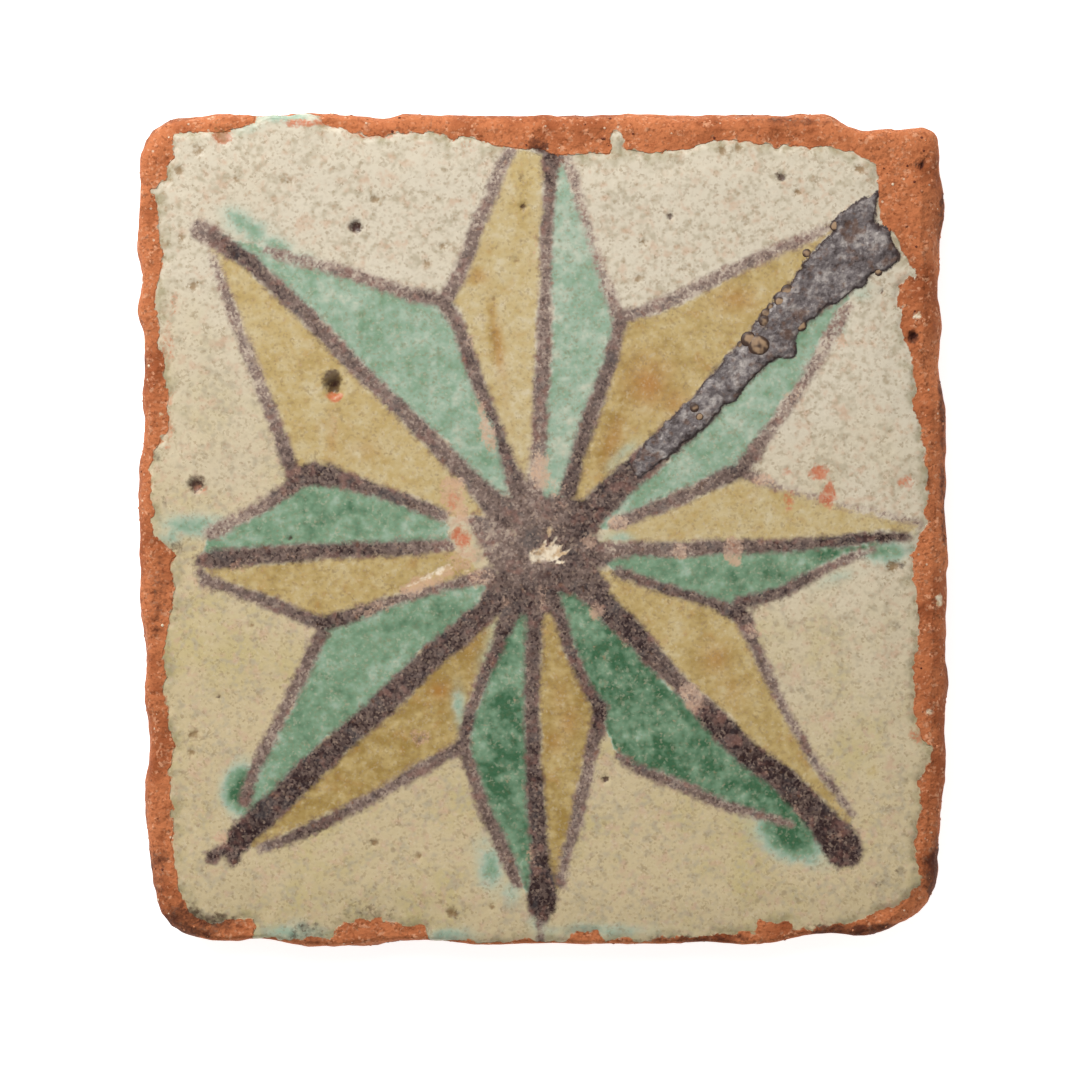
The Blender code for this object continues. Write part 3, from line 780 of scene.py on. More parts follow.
# One wide square of the back meets four narrow ones of the side
wide_ring = row_starts[side_rows] + np.arange(len(back_rim))
halfway = every // 2
for number, here in enumerate(wide_ring):
    near = rings[-1][(np.arange(every + 1) + number * every) % COLUMNS]
    beyond = wide_ring[(number + 1) % len(wide_ring)]
    faces.extend((near[k], here, near[k + 1]) for k in range(halfway))
    faces.append((near[halfway], here, beyond))
    faces.extend((near[k], beyond, near[k + 1]) for k in range(halfway, every))

back_rings = [start + np.arange(len(back_rim)) for start in row_starts[side_rows:]]
back_rings.append(back_start + np.array(back_rim))
for outer, inner in zip(back_rings, back_rings[1:]):
    join(outer, inner)
faces.extend(tuple(back_start + corner for corner in reversed(face)) for face in back_faces)
face_count = row_starts[FAN_ROWS + ARRIS_ROWS]
print(len(faces), "faces,", face_count, "points on the face")

# %% [markdown]
# ## Where the glaze ends
# Wear and knocks broke the glaze back from the edges, so its border is crumbly at every scale. Its bays are
# read from the photograph, as the few places below. Every point of the face gets its distance to that
# border in millimetres, above zero inside, and noise roughens it. The shader and the relief both read that
# number, so colour and step stay together.

# %% Distance to the glaze's edge
GLAZE_BORDER = {
    "top": [
        (175, 135), (250, 127), (256, 113), (316, 113), (322, 127), (342, 130), (370, 136), (400, 135),
        (437, 132), (450, 140), (482, 140), (495, 147), (540, 152), (560, 156), (610, 155), (612, 132),
        (622, 133), (625, 152), (650, 155), (680, 149), (720, 140), (775, 147), (830, 147), (855, 157),
        (870, 161),
    ],
    "right": [
        (878, 165), (878, 215), (890, 232), (899, 250), (916, 275), (905, 282), (900, 300), (900, 322),
        (907, 350), (915, 390), (915, 420), (920, 430), (927, 455), (927, 520), (920, 540), (911, 555),
        (911, 567), (916, 600), (916, 650), (916, 700), (915, 725), (932, 750), (916, 785), (920, 810),
        (915, 845), (919, 883),
    ],
    "bottom": [
        (900, 900), (850, 922), (793, 930), (790, 920), (758, 920), (756, 932), (680, 936), (603, 940),
        (600, 932), (570, 932), (566, 940), (500, 940), (431, 940), (428, 927), (400, 927), (398, 922),
        (337, 922), (333, 937), (255, 937), (252, 920), (222, 920),
    ],
    "left": [
        (205, 925), (190, 912), (175, 870), (171, 800), (172, 750), (172, 725), (165, 687), (165, 650),
        (174, 617), (174, 570), (177, 555), (157, 540), (152, 505), (152, 455), (171, 430), (169, 400),
        (167, 380), (162, 347), (155, 305), (157, 285), (162, 260), (160, 222), (154, 192), (162, 182),
        (172, 160),
    ],
}
RAGGED = [(3.0, 0.35, 11), (1.4, 0.40, 12), (0.8, 0.30, 13)]
TINY = 1e-12

flat = skin[:face_count, :2]
level = np.column_stack([flat, np.zeros(face_count)])


def nearest_on(line, places):
    """The distance from each place to a line, and the line's further columns at the nearest point of it."""
    best = np.full(len(places), np.inf)
    carried = np.zeros((len(places), line.shape[1] - 2))
    for start, end in zip(line, line[1:]):
        way = end[:2] - start[:2]
        share = np.clip((places - start[:2]) @ way / max(way @ way, TINY), 0, 1)[:, None]
        distance = np.linalg.norm(places - start[:2] - share * way, axis=1)
        closer = distance < best
        best[closer] = distance[closer]
        carried[closer] = (start[2:] + share * (end[2:] - start[2:]))[closer]
    return best, carried


def winding(outline, places):
    """True for the places inside a closed outline."""
    inside = np.zeros(len(places), bool)
    for (x0, y0), (x1, y1) in zip(outline, np.roll(outline, -1, axis=0)):
        crosses = (y0 > places[:, 1]) != (y1 > places[:, 1])
        with np.errstate(divide="ignore", invalid="ignore"):
            at = (x1 - x0) * (places[:, 1] - y0) / (y1 - y0) + x0
        inside ^= crosses & (places[:, 0] < at)
    return inside


def inward(outline, places):
    """How far inside a closed outline each place is, below zero outside it."""
    distance = nearest_on(np.vstack([outline, outline[:1]]), places)[0]
    return np.where(winding(outline, places), distance, -distance)


border = on_face([place for side in GLAZE_BORDER.values() for place in side])
glaze_edge = inward(border, flat) + clouds(level, RAGGED)
print("glaze covers", round(100 * (glaze_edge > 0).mean()), "% of the face's points")

# %% [markdown]
# ## Painting by distance
# A brush stroke with soft edges could be an image, but here it is a distance: each point of the mesh knows
# how far inside the nearest stroke's edge it is, and how much colour that stroke holds there. Distances
# blend straight between points, so the shader can cut a sharp or a grainy edge anywhere between them.

# %% Strokes as distances
CURVE_STEPS = 4
BLEND_WIDTH = 0.25
BLEND_RANGE = (-30, 4)
FAR = -8.0
WOBBLE = [(6.0, 0.10, 24), (2.2, 0.12, 25), (1.0, 0.10, 26)]

wobble = clouds(level, WOBBLE)


def curve_through(stations):
    """A smooth line through the stations (a Catmull-Rom curve), with their further columns blended too."""
    stations = np.array(stations, float)
    padded = np.vstack([2 * stations[0] - stations[1], stations, 2 * stations[-1] - stations[-2]])
    line = []
    for before, start, end, after in zip(padded, padded[1:], padded[2:], padded[3:]):
        for t in np.arange(CURVE_STEPS) / CURVE_STEPS:
            bend = 2 * start + (end - before) * t + (2 * before - 5 * start + 4 * end - after) * t**2
            line.append((bend + (3 * start - before - 3 * end + after) * t**3) / 2)
    return np.array(line + [stations[-1]])


class Paint:
    """One colour on the face: how far inside its edge each point is, and how strong the colour is there."""

    def __init__(self):
        self.edge = np.full(face_count, FAR)
        self.weight = np.zeros(face_count)
        self.amount = np.zeros(face_count)

    def add(self, where, edge, strength):
        """Lays colour down at some points. Where strokes overlap, the deeper one counts more."""
        weight = np.exp(np.clip(edge / BLEND_WIDTH, *BLEND_RANGE))
        self.edge[where] = np.maximum(self.edge[where], edge)
        self.weight[where] += weight
        self.amount[where] += weight * strength

    def strength(self):
        """How strong the colour is at each point."""
        return self.amount / np.maximum(self.weight, TINY)

    def stroke(self, stations):
        """A brush stroke through stations of place, width in pixels and strength."""
        line = curve_through(on_face(stations))
        reach_out = line[:, 2].max() * PIXEL / 2 - FAR / 2
        lowest, highest = line[:, :2].min(axis=0) - reach_out, line[:, :2].max(axis=0) + reach_out
        where = np.nonzero(((flat > lowest) & (flat < highest)).all(axis=1))[0]
        distance, carried = nearest_on(line, flat[where])
        self.add(where, carried[:, 0] * PIXEL / 2 - distance + wobble[where], carried[:, 1])


ink = Paint()
for group in (AXES, OUTLINES, INNERS, BLOTS):
    for stations in group.values():
        ink.stroke(stations)
print("strokes cover", round(100 * (ink.edge > 0).mean()), "% of the face's points")

# %% Washes between the strokes
# A wash runs this far in under a stroke on average, and now and then stops short of it
UNDERLAP = 0.4
UNDERLAP_SWING = 0.65
UNDERLAP_NOISE = (5.0, 21)
wash_limit = UNDERLAP - ink.edge - UNDERLAP_SWING * cloud(level, *UNDERLAP_NOISE)


def wash(paint, axis, outline, inner, strength):
    """Fills the space between an axis, an outline and an inner stroke."""
    around = np.vstack([on_face(line)[:, :2] for line in (AXES[axis], OUTLINES[outline], INNERS[inner])])
    lowest, highest = around.min(axis=0) + FAR / 2, around.max(axis=0) - FAR / 2
    where = np.nonzero(((flat > lowest) & (flat < highest)).all(axis=1))[0]
    paint.add(where, np.minimum(inward(around, flat[where]), wash_limit[where]), strength)


ochre, green = Paint(), Paint()
for axis, (*ochre_lines, green_outline, green_inner, ochre_deep, green_deep) in WASHES.items():
    wash(ochre, axis, *ochre_lines, ochre_deep)
    wash(green, axis, green_outline, green_inner, green_deep)
for name, paint in (("ochre", ochre), ("green", green)):
    print(name, "covers", round(100 * (paint.edge > 0).mean()), "% of the face's points")


# %% Ovals: pools, bleeds and scars
OVAL_WOBBLE = [(2.6, 0.34, 27), (1.1, 0.26, 28)]
FIRM_EDGE = (-1.25, -0.6)
FIRM_RAGGED = 0.8
PALE_RAGGED = 0.35
POOL_FALL = 1.2
BLEED_FALL = 1.7
BLEED_RAGGED = 0.4

oval_wobble = clouds(level, OVAL_WOBBLE)


def share_out(x, y, wide, tall, lean, ragged):
    """How far out each point is in an oval, as a share of its radii; the oval leans clockwise as seen."""
    cosine, sine = math.cos(math.radians(-lean)), math.sin(math.radians(-lean))
    turned = (flat - on_face([x, y])) @ np.array([[cosine, -sine], [sine, cosine]])
    return np.linalg.norm(turned / (np.array([wide, tall]) * PIXEL), axis=1) + oval_wobble * ragged


def firm(rows, ragged=FIRM_RAGGED):
    """Ovals with an edge: how strong they are at each point."""
    parts = [strength * smooth(-share_out(*oval, ragged), *FIRM_EDGE) for *oval, strength in rows]
    return np.max(parts, axis=0)


def bled(rows):
    """Ovals that fade out softly: how strong they are at each point."""
    outs = [np.abs(share_out(*oval, BLEED_RAGGED)) for *oval, strength in rows]
    return np.max([row[-1] * np.exp(-(out**BLEED_FALL)) for row, out in zip(rows, outs)], axis=0)


def pooled(base, rows):
    """A wash's strength, drawn towards each pool's own strength near it."""
    for *oval, strength in rows:
        nearness = np.exp(-POOL_FALL * share_out(*oval, FIRM_RAGGED) ** 2)
        base = base + (strength - base) * nearness
    return base


marks = {
    "green_bleed": bled(GREEN_BLEEDS),
    "ochre_bleed": bled(OCHRE_BLEEDS),
    "rust": bled(RUST_PATCHES),
    "bare": firm(BARE_SPOTS),
    "worn": firm(WORN_SPOTS),
    "pale": firm(PALE_SPOTS, PALE_RAGGED),
    "stain": firm(STAINS_AND_SHADE),
}
print(len(marks), "sorts of oval marks")

# %% [markdown]
# ## Relief
# Seen from a step away the face is flat, but light finds its waves. The relief is built up in the order
# that it came about: the clay's rough face, the melted glaze with its soft lip, slow waves where the glaze
# ran, the one thick brush stroke that dried standing up, and then the bubbles and pits. All of it is real
# geometry here.

# %% The thick stroke
THICK_STROKE = [
    (640, 466, 18, 0.2), (660, 448, 26, 0.45), (690, 421, 31, 0.85), (708, 403, 32, 0.95),
    (722, 388, 33, 1.0), (737, 371, 34, 1.0), (753, 354, 36, 1.0), (768, 341, 42, 1.0), (780, 323, 40, 1.0),
    (793, 308, 42, 1.0), (807, 297, 46, 1.0), (821, 282, 52, 1.0), (831, 273, 55, 1.0), (845, 260, 58, 1.0),
    (857, 248, 60, 1.0),
]
THICK_LUMPS = {
    "lobe": [(774, 345, 30, 1.0), (784, 348, 22, 1.0)],
    "spike": [(852, 228, 42, 1.0), (862, 214, 30, 1.0), (870, 203, 16, 0.9), (876, 195, 7, 0.8)],
    "end": [(872, 246, 44, 1.0), (884, 256, 30, 1.0)],
}
STROKE_HEIGHT = 0.5
LUMP_NOISE = [(2.6, 0.25, 30), (1.4, 0.45, 31), (0.8, 0.22, 32)]

slip = Paint()
slip.stroke(THICK_STROKE)
for stations in THICK_LUMPS.values():
    slip.stroke(stations)
slip_edge = slip.edge + clouds(level, LUMP_NOISE)
print("the thick stroke covers", round(100 * (slip_edge > 0).mean(), 1), "% of the face's points")

# %% Heights of the face
# In millimetres, as the depths and rims below are. A noise has its size and seed, and a pair without a seed
# is where a smooth rise starts and ends.
GLAZE_LIP = (-0.1, 1.0)
LIP_SHARE = 0.3
GLAZE_SLOPE = (0.0, 7.0)
FACE_WAVES = [(22.0, 0.16, 41), (9.0, 0.07, 42), (3.2, 0.035, 43)]
CLAY_ROUGH = [(5.0, 0.18, 44), (1.8, 0.16, 45), (0.9, 0.10, 46)]
CLAY_LIFT = -0.4
SLIP_SHOULDER = (-0.1, 1.1)
SLIP_LEVEL = 0.74
SLIP_LUMPS = [(3.0, 0.34, 47), (1.2, 0.2, 48)]
INK_HEIGHT = 0.05
INK_SHOULDER = (-0.2, 0.5)
INK_NOISE = (1.2, 49)
BARE_DEPTH = 0.10
BARE_NOISE = (1.0, 50)
PALE_DEPTH = 0.25
PALE_NOISE = (1.1, 51)
PALE_BREAK = (-0.4, 0.4)

glazed = smooth(glaze_edge, *GLAZE_LIP)
rise = GLAZE_THICKNESS * (LIP_SHARE * glazed + (1 - LIP_SHARE) * smooth(glaze_edge, *GLAZE_SLOPE))
rise += clouds(level, FACE_WAVES) * glazed
rise += clouds(level, CLAY_ROUGH, CLAY_LIFT) * (1 - glazed)
slip_body = smooth(slip_edge, *SLIP_SHOULDER) * slip.strength()
rise += STROKE_HEIGHT * slip_body * (SLIP_LEVEL + clouds(level, SLIP_LUMPS))
rise += INK_HEIGHT * smooth(ink.edge, *INK_SHOULDER) * ink.strength() * (1 + cloud(level, *INK_NOISE))
rise -= BARE_DEPTH * marks["bare"] * (1 + cloud(level, *BARE_NOISE))
rise -= PALE_DEPTH * marks["pale"] * smooth(cloud(level, *PALE_NOISE), *PALE_BREAK)
print("face rises", rise.min().round(2), "to", rise.max().round(2), "mm over the clay, before the pits")

# %% Pits and burst bubbles
# A deep one is painted dark inside as painted shade. A shallow one is only brown, and a little way round it
# too.
DEEP_PIT = 0.35
PIT_RAGGED = 0.5
PIT_WALL = (-1.0, -0.25)
PIT_RIM = 0.05
RIM_PLACE = 1.15
RIM_WIDTH = 0.22
CRATER_SPREAD = 0.9

marks["pit"] = np.zeros(face_count)
marks["crater"] = np.zeros(face_count)
for x, y, across, depth in PITS:
    out = np.linalg.norm(flat - on_face([x, y]), axis=1) / (across * PIXEL) + oval_wobble * PIT_RAGGED
    hollow = smooth(-out, *PIT_WALL)
    rise += PIT_RIM * np.exp(-(((out - RIM_PLACE) / RIM_WIDTH) ** 2)) - depth * hollow
    if depth < DEEP_PIT:
        marks["crater"] = np.maximum(marks["crater"], np.exp(-((out / CRATER_SPREAD) ** 2)))
    else:
        marks["pit"] = np.maximum(marks["pit"], hollow)
skin[:face_count, 2] += rise
print("face rises", rise.min().round(2), "to", rise.max().round(2), "mm over the clay")

# %% The mesh, and the clay's rough sides
SIDE_ROUGH = [(9.0, 0.35, 61), (3.5, 0.28, 62), (1.4, 0.16, 63)]
BACK_ROUGH = [(14.0, 0.12, 64), (4.0, 0.12, 65), (2.2, 0.08, 66)]
SIDE_START = (0.3, 2.5)
SIDE_LIFT = -0.3

tile_mesh = bpy.data.meshes.new("tile")
tile_mesh.from_pydata((skin * MM).tolist(), [], faces)
normals = np.empty(len(skin) * 3)
tile_mesh.vertices.foreach_get("normal", normals)
normals = normals.reshape(-1, 3)

back_row = row_starts[side_rows - 1]
down_side = smooth(BODY_TOP - skin[:, 2], *SIDE_START)
down_side[back_row:] = 0
for size, depth, seed in SIDE_ROUGH:
    skin += normals * (depth * (cloud(skin, size, seed) + SIDE_LIFT) * down_side)[:, None]
underneath = np.zeros(len(skin))
underneath[row_starts[side_rows]:] = 1
for size, depth, seed in BACK_ROUGH:
    skin[:, 2] += depth * (1 + cloud(skin, size, seed)) * underneath
skin[:, 2] = np.maximum(skin[:, 2], 0)
tile_mesh.vertices.foreach_set("co", (skin * MM).ravel())
tile_mesh.update()
tile_mesh.shade_smooth()
print("tile mesh", sum(len(face) - 2 for face in faces), "triangles")

# %% Numbers that the shader reads
painted = {
    "glaze_edge": glaze_edge,
    "ink_edge": ink.edge,
    "ink_strength": ink.strength(),
    "ochre_edge": ochre.edge,
    "ochre_strength": pooled(ochre.strength(), OCHRE_POOLS),
    "green_edge": green.edge,
    "green_strength": pooled(green.strength(), GREEN_POOLS),
    "slip_edge": slip_edge,
    **marks,
}
for name, values in painted.items():
    column = np.full(len(skin), FAR if name.endswith("edge") else 0.0, np.float32)
    column[:face_count] = values
    tile_mesh.attributes.new(name, "FLOAT", "POINT").data.foreach_set("value", column)
print(len(painted), "numbers at each point")

# %% [markdown]
# ## A flat plan of the skin lets the finish be painted on to a picture.
# The finish is painted on to a picture when the tile is exported, and that needs a flat plan of its skin.
# The face gets most of it, the four sides are strips beside it, and the back takes the corner that is left.

# %% The plan
# Each rectangle is its left, its foot, its width and its height
PLAN_NAME = "OFBake"
FACE_PLAN = (0.004, 0.004, 0.796, 0.816)
STRIP_PLANS = {
    "bottom": (0.004, 0.830, 0.796, 0.078),
    "right": (0.904, 0.004, 0.080, 0.816),
    "top": (0.004, 0.916, 0.796, 0.078),
    "left": (0.812, 0.004, 0.080, 0.816),
}
BACK_PLAN = (0.812, 0.832, 0.172, 0.160)
STEEP_ROW = FAN_ROWS + ARRIS_ROWS // 2


def seen_flat(plan, some_faces):
    """The corners of some faces as seen straight on, laid into a rectangle of the plan."""
    spread = skin[:, :2] / (np.abs(skin[:, :2]).max(axis=0) * 2) + 0.5
    corners = np.array(plan[:2]) + spread * np.array(plan[2:])
    return [corner for face in some_faces for corner in corners[list(face)]]


def strip_row(upper, lower):
    """The corners of one row of the sides, between two heights that are shares of a strip's width."""
    corners = []
    for (side, plan), count in zip(STRIP_PLANS.items(), PATCH_SQUARES * 2):
        edges = np.arange(count + 1) / count
        for start, end in zip(edges, edges[1:]):
            for along, up in ((start, upper), (start, lower), (end, lower), (end, upper)):
                shares = (along, up) if side in ("bottom", "top") else (up, along)
                corners.append(np.array(plan[:2]) + np.array(shares) * np.array(plan[2:]))
    return corners


side_start = len(front_faces) + STEEP_ROW * COLUMNS
side_end = len(front_faces) + side_rows * COLUMNS
plan_places = seen_flat(FACE_PLAN, faces[:side_start])
strip_heights = np.linspace(1, 0, side_rows - STEEP_ROW + 1)
for upper, lower in zip(strip_heights, strip_heights[1:]):
    plan_places += strip_row(upper, lower)
plan_places = np.array(plan_places + seen_flat(BACK_PLAN, faces[side_end:]))
plan = tile_mesh.uv_layers.new(name=PLAN_NAME)
plan.data.foreach_set("uv", plan_places.astype(np.float32).ravel())
print("plan from", plan_places.min().round(3), "to", plan_places.max().round(3))

# %% [markdown]
# ## The tile's one finish
# Clay and glaze are one piece, so they share one material. It mixes from the back to the front: the clay,
# then the cream glaze over it as far as the glaze's edge, with painted light paler at its top, the green
# and ochre washes, the purple-black brush strokes, and last the stains, the painted shade in the pits and
# along the edges, and the worn places. Each layer breaks its edge with grain, because pigment in a melted
# glaze never ends in a clean line.

# %% Colours, as they are seen
# The first two creams are painted light: the paler for the top of the face, the warmer and darker for the
# bottom
CREAM_PALE_LIT = seen(208, 197, 176)
CREAM_WARM_SHADED = seen(199, 181, 144)
CREAM_GREY = seen(176, 164, 140)
CREAM_YELLOW = seen(188, 172, 118)
CREAM_PINK = seen(196, 164, 138)
CREAM_LIGHT = seen(216, 205, 180)
SPECK = seen(146, 122, 92)
OCHRE_THIN = seen(202, 187, 150)
OCHRE_MID = seen(186, 162, 110)
OCHRE_FULL = seen(156, 129, 74)
RUST = seen(172, 112, 56)
GREEN_THIN = seen(170, 188, 170)
GREEN_MID = seen(124, 152, 124)
GREEN_FULL = seen(66, 102, 74)
INK_THIN = seen(184, 164, 150)
INK_MID = seen(126, 107, 98)
INK_FULL = seen(58, 43, 38)
INK_BLUE = seen(90, 90, 90)
INK_ROSE = seen(140, 102, 92)
INK_SPECK = seen(164, 142, 124)
WORN = seen(204, 165, 138)
SLIP_DEEP = seen(74, 66, 65)
SLIP_MID = seen(118, 110, 109)
SLIP_BROWN = seen(108, 84, 72)
SLIP_FLECK = seen(186, 177, 170)
CLAY = seen(190, 118, 81)
CLAY_LIGHT = seen(214, 156, 122)
CLAY_RED = seen(154, 90, 62)
CLAY_IRON = seen(118, 70, 50)
LIME = seen(232, 216, 190)
CHIP_TAN = seen(196, 166, 130)
# Soot and grime, used also as painted shade down the sides and in the stains over the pits and edges
GRIME_AND_SHADE = seen(66, 48, 36)
OLIVE = seen(146, 138, 104)
# Painted shade inside the deep pits
PIT_SHADE_BROWN = seen(70, 48, 32)
CRATER_BROWN = seen(138, 110, 76)
BARE_CLAY = seen(190, 98, 64)
FRECKLE = seen(156, 136, 108)


# %% The noises that every layer shares
# The size in millimetres, the detail and the shift of each; grains have no detail
FINE_GRAINS = (0.36, 3.0)
SMALL_NOISE = (1.2, 1.0, 5.0)
MIDDLING_NOISE = (3.6, 2.0, 7.0)
BROAD_NOISE = (14.0, 1.0, 9.0)

g = Graph("glazed_terracotta")
fine = g.grains(*FINE_GRAINS)
small = g.noises(*SMALL_NOISE)
middling = g.noises(*MIDDLING_NOISE)
broad = g.noises(*BROAD_NOISE)
print("noises of four sizes, with three channels each")

# %% Clay
LIME_SPACING = 2.6
LIME_RADIUS = (0.10, 0.05)
SHADED_LOW_DOWN = (16.6, 13.0)
# How far down the sides grime and painted shade darken the clay, in millimetres of height
SOOT_AND_SHADE_SHARE = 0.7


def clay_colour():
    """Coarse red clay: mottled, gritty, with lime and soot, and darker down the sides with grime and
    painted shade.
    """
    colour = g.tinted(CLAY_RED, CLAY, broad[0] + middling[0] * 0.7, -1.1, 0.3)
    colour = g.tinted(colour, CLAY_LIGHT, small[0] + fine[0] * 0.8, 0.3, 1.5, 0.8)
    colour = g.tinted(colour, CLAY_RED, small[1] + fine[1] * 0.8, 0.3, 1.4, 0.75)
    colour = g.tinted(colour, CLAY_IRON, fine[2] + small[0] * 0.2, 0.6, 1.0, 0.5)
    colour = g.tinted(colour, LIME, g.spots(LIME_SPACING), *LIME_RADIUS, 0.5)
    # Grime and painted shade: the clay darkens in patches further down the sides
    soot_and_shade = broad[1] + middling[1] * 0.8 + small[2] * 0.4
    return g.tinted(colour, GRIME_AND_SHADE, soot_and_shade, -0.3, 0.8, g.step(g.axis("Z"), *SHADED_LOW_DOWN) * SOOT_AND_SHADE_SHARE)


# %% Glaze
# Painted light: where the cream turns from pale to warm and darker, going down the face, in millimetres
SHADED_WARM_BELOW = (44.0, -40.0)
SHADE_AND_WARMTH_SWING = 12.0
FRECKLE_SPACING = 2.4
FRECKLE_RADIUS = (0.24, 0.10)
WASH_EDGE = (-0.6, 0.4)
WASH_RAGGED = 0.4
WASH_STREAKS = 0.30
WASH_SHOWS = (0.02, 0.46)
SPECKS_BARE = 0.42
SPECKS_HIDDEN = 0.32


def cream_colour():
    """Tin glaze: paler at the top and right and darker below as painted light, warmer below, mottled and
    stained.
    """
    # Painted light from the top of the face, with the warmer tone below
    shade_and_warmth = g.step(g.axis("Y") + g.axis("X") * 0.3 + broad[0] * SHADE_AND_WARMTH_SWING, *SHADED_WARM_BELOW)
    colour = g.mix(shade_and_warmth, CREAM_PALE_LIT, CREAM_WARM_SHADED)
    colour = g.tinted(colour, CREAM_YELLOW, broad[2] + middling[1] * 0.7, -0.2, 1.1, shade_and_warmth * 0.6)
    colour = g.tinted(colour, CREAM_GREY, small[0] + middling[1] * 0.6, -0.2, 1.2, 0.8)
    colour = g.tinted(colour, CREAM_PINK, middling[0] * 0.7 + small[2] * 0.8, 0.0, 1.3, 0.7)
    in_patches = g.step(middling[2] + broad[1], -0.2, 1.0)
    return g.tinted(colour, FRECKLE, g.spots(FRECKLE_SPACING), *FRECKLE_RADIUS, in_patches * 0.6)


def washed(colour, name, stops, ragged, streak):
    """A thin wash over the glaze: pale where it is weak, deep where it is strong, streaky all over."""
    cover = g.step(g.painted(name + "_edge") + ragged * WASH_RAGGED, *WASH_EDGE)
    amount = g.maths("MAXIMUM", cover * g.painted(name + "_strength"), g.painted(name + "_bleed"))
    amount = amount * (streak * WASH_STREAKS + 1.0)
    return g.tinted(colour, g.ramp(amount, stops), amount, *WASH_SHOWS), amount


def grained(colour, covered):
    """The sandy grain of a tin glaze: iron specks, which a deep wash covers, and light glints."""
    share = SPECKS_BARE - covered * SPECKS_HIDDEN
    colour = g.tinted(colour, SPECK, fine[0] + small[1] * 0.35, 0.25, 1.2, share)
    return g.tinted(colour, CREAM_LIGHT, fine[1] + small[2] * 0.3, 0.4, 1.3, 0.24)


# %% Ink
INK_STOPS = [(0.12, INK_THIN), (0.52, INK_MID), (1.0, INK_FULL)]
SLIP_STOPS = [(0.0, SLIP_DEEP), (0.45, SLIP_MID), (1.0, SLIP_FLECK)]
INK_EDGE = (-0.6, 0.6)
INK_INSIDE = (-0.2, 1.0)
INK_AT_EDGE = 0.82
INK_MORE_INSIDE = 0.14
INK_LOST_TO_WEAR = 0.3
INK_SHOWS = (-0.2, 0.4)
SLIP_EDGE = (-0.2, 0.2)
SLIP_DARK_BAND = (0.9, 0.1)


def inked(colour, worn_thin):
    """Purple-black strokes: grainy, with pale specks, and thin enough in places to be mauve."""
    edge = g.painted("ink_edge")
    cover = g.step(edge + small[0] * 0.26 + fine[0] * 0.12, *INK_EDGE)
    fullness = g.step(edge, *INK_INSIDE) * INK_MORE_INSIDE + INK_AT_EDGE
    depth = g.painted("ink_strength") * fullness - worn_thin * INK_LOST_TO_WEAR
    depth = depth + fine[1] * 0.18 + small[1] * 0.13 + middling[2] * 0.09
    tint = g.ramp(depth, INK_STOPS)
    tint = g.tinted(tint, INK_BLUE, middling[0] + small[2] * 0.5, 0.0, 1.2, 0.4)
    tint = g.tinted(tint, INK_SPECK, fine[2] + small[2] * 0.25, 0.5, 1.1, 0.5)
    tint = g.tinted(tint, INK_ROSE, middling[1] + small[0] * 0.7, 0.1, 1.2, 0.5)
    return g.tinted(colour, tint, depth, *INK_SHOWS, cover)


def slipped(colour):
    """The thick stroke: blue-grey, flecked, and black round its lumps."""
    edge = g.painted("slip_edge")
    tint = g.ramp(fine[0] * 0.14 + small[1] * 0.27 + middling[1] * 0.30 + 0.42, SLIP_STOPS)
    tint = g.tinted(tint, SLIP_BROWN, small[2] + middling[2] * 0.6, 0.0, 1.1, 0.7)
    tint = g.tinted(tint, INK_FULL, edge + small[0] * 0.5, *SLIP_DARK_BAND, 0.75)
    return g.tinted(colour, tint, edge + fine[1] * 0.14, *SLIP_EDGE)


# %% The whole finish
OCHRE_STOPS = [(0.25, OCHRE_THIN), (0.62, OCHRE_MID), (1.0, OCHRE_FULL)]
GREEN_STOPS = [(0.25, GREEN_THIN), (0.60, GREEN_MID), (1.0, GREEN_FULL)]
# How a mark breaks up: the channel and share of the small noise, those of the grain, and where the mark
# starts and is full
BREAK_UP = {
    "worn": (0, 0.25, 2, 0.25, 0.25, 1.0),
    "bare": (0, 0.22, 1, 0.20, 0.25, 1.05),
    "stain": (1, 0.20, 0, 0.14, 0.15, 1.0),
    "crater": (0, 0.25, 1, 0.25, 0.20, 1.0),
    "pit": (0, 0.00, 0, 0.12, 0.15, 0.9),
    "pale": (2, 0.20, 2, 0.14, 0.25, 0.85),
}
# How much of its colour each mark lays over what is under it
WORN_SHARES = (0.6, 0.35)
BARE_SHARE = 0.85
STAIN_AND_SHADE_SHARE = 0.8
CRATER_SHARE = 0.75
# Painted shade inside the deep pits, less where their clay shows
PIT_SHADE_SHARE = 0.8
PIT_SHADE_LESS_WHERE_BARE = 0.6
OLIVE_SHARE = 0.6
RUST_SHARES = (0.3, 0.75)
GLAZE_CUT = (-0.08, 0.16)
OLIVE_BAND = (2.6, 0.0)
SHEEN_LEVEL = 0.3
GLAZE_ROUGHNESS = (0.30, 0.44)
CLAY_ROUGHNESS = 0.9
RELIEF_SIZE = 0.9
RELIEF_DETAIL = 2.0
CLAY_RELIEF = 0.40
GLAZE_RELIEF = 0.07
SLIP_RELIEF = 0.3

on = {}
for name, (lump, lump_share, grain, grain_share, start, end) in BREAK_UP.items():
    broken = g.painted(name) + small[lump] * lump_share + fine[grain] * grain_share
    on[name] = g.step(broken, start, end)

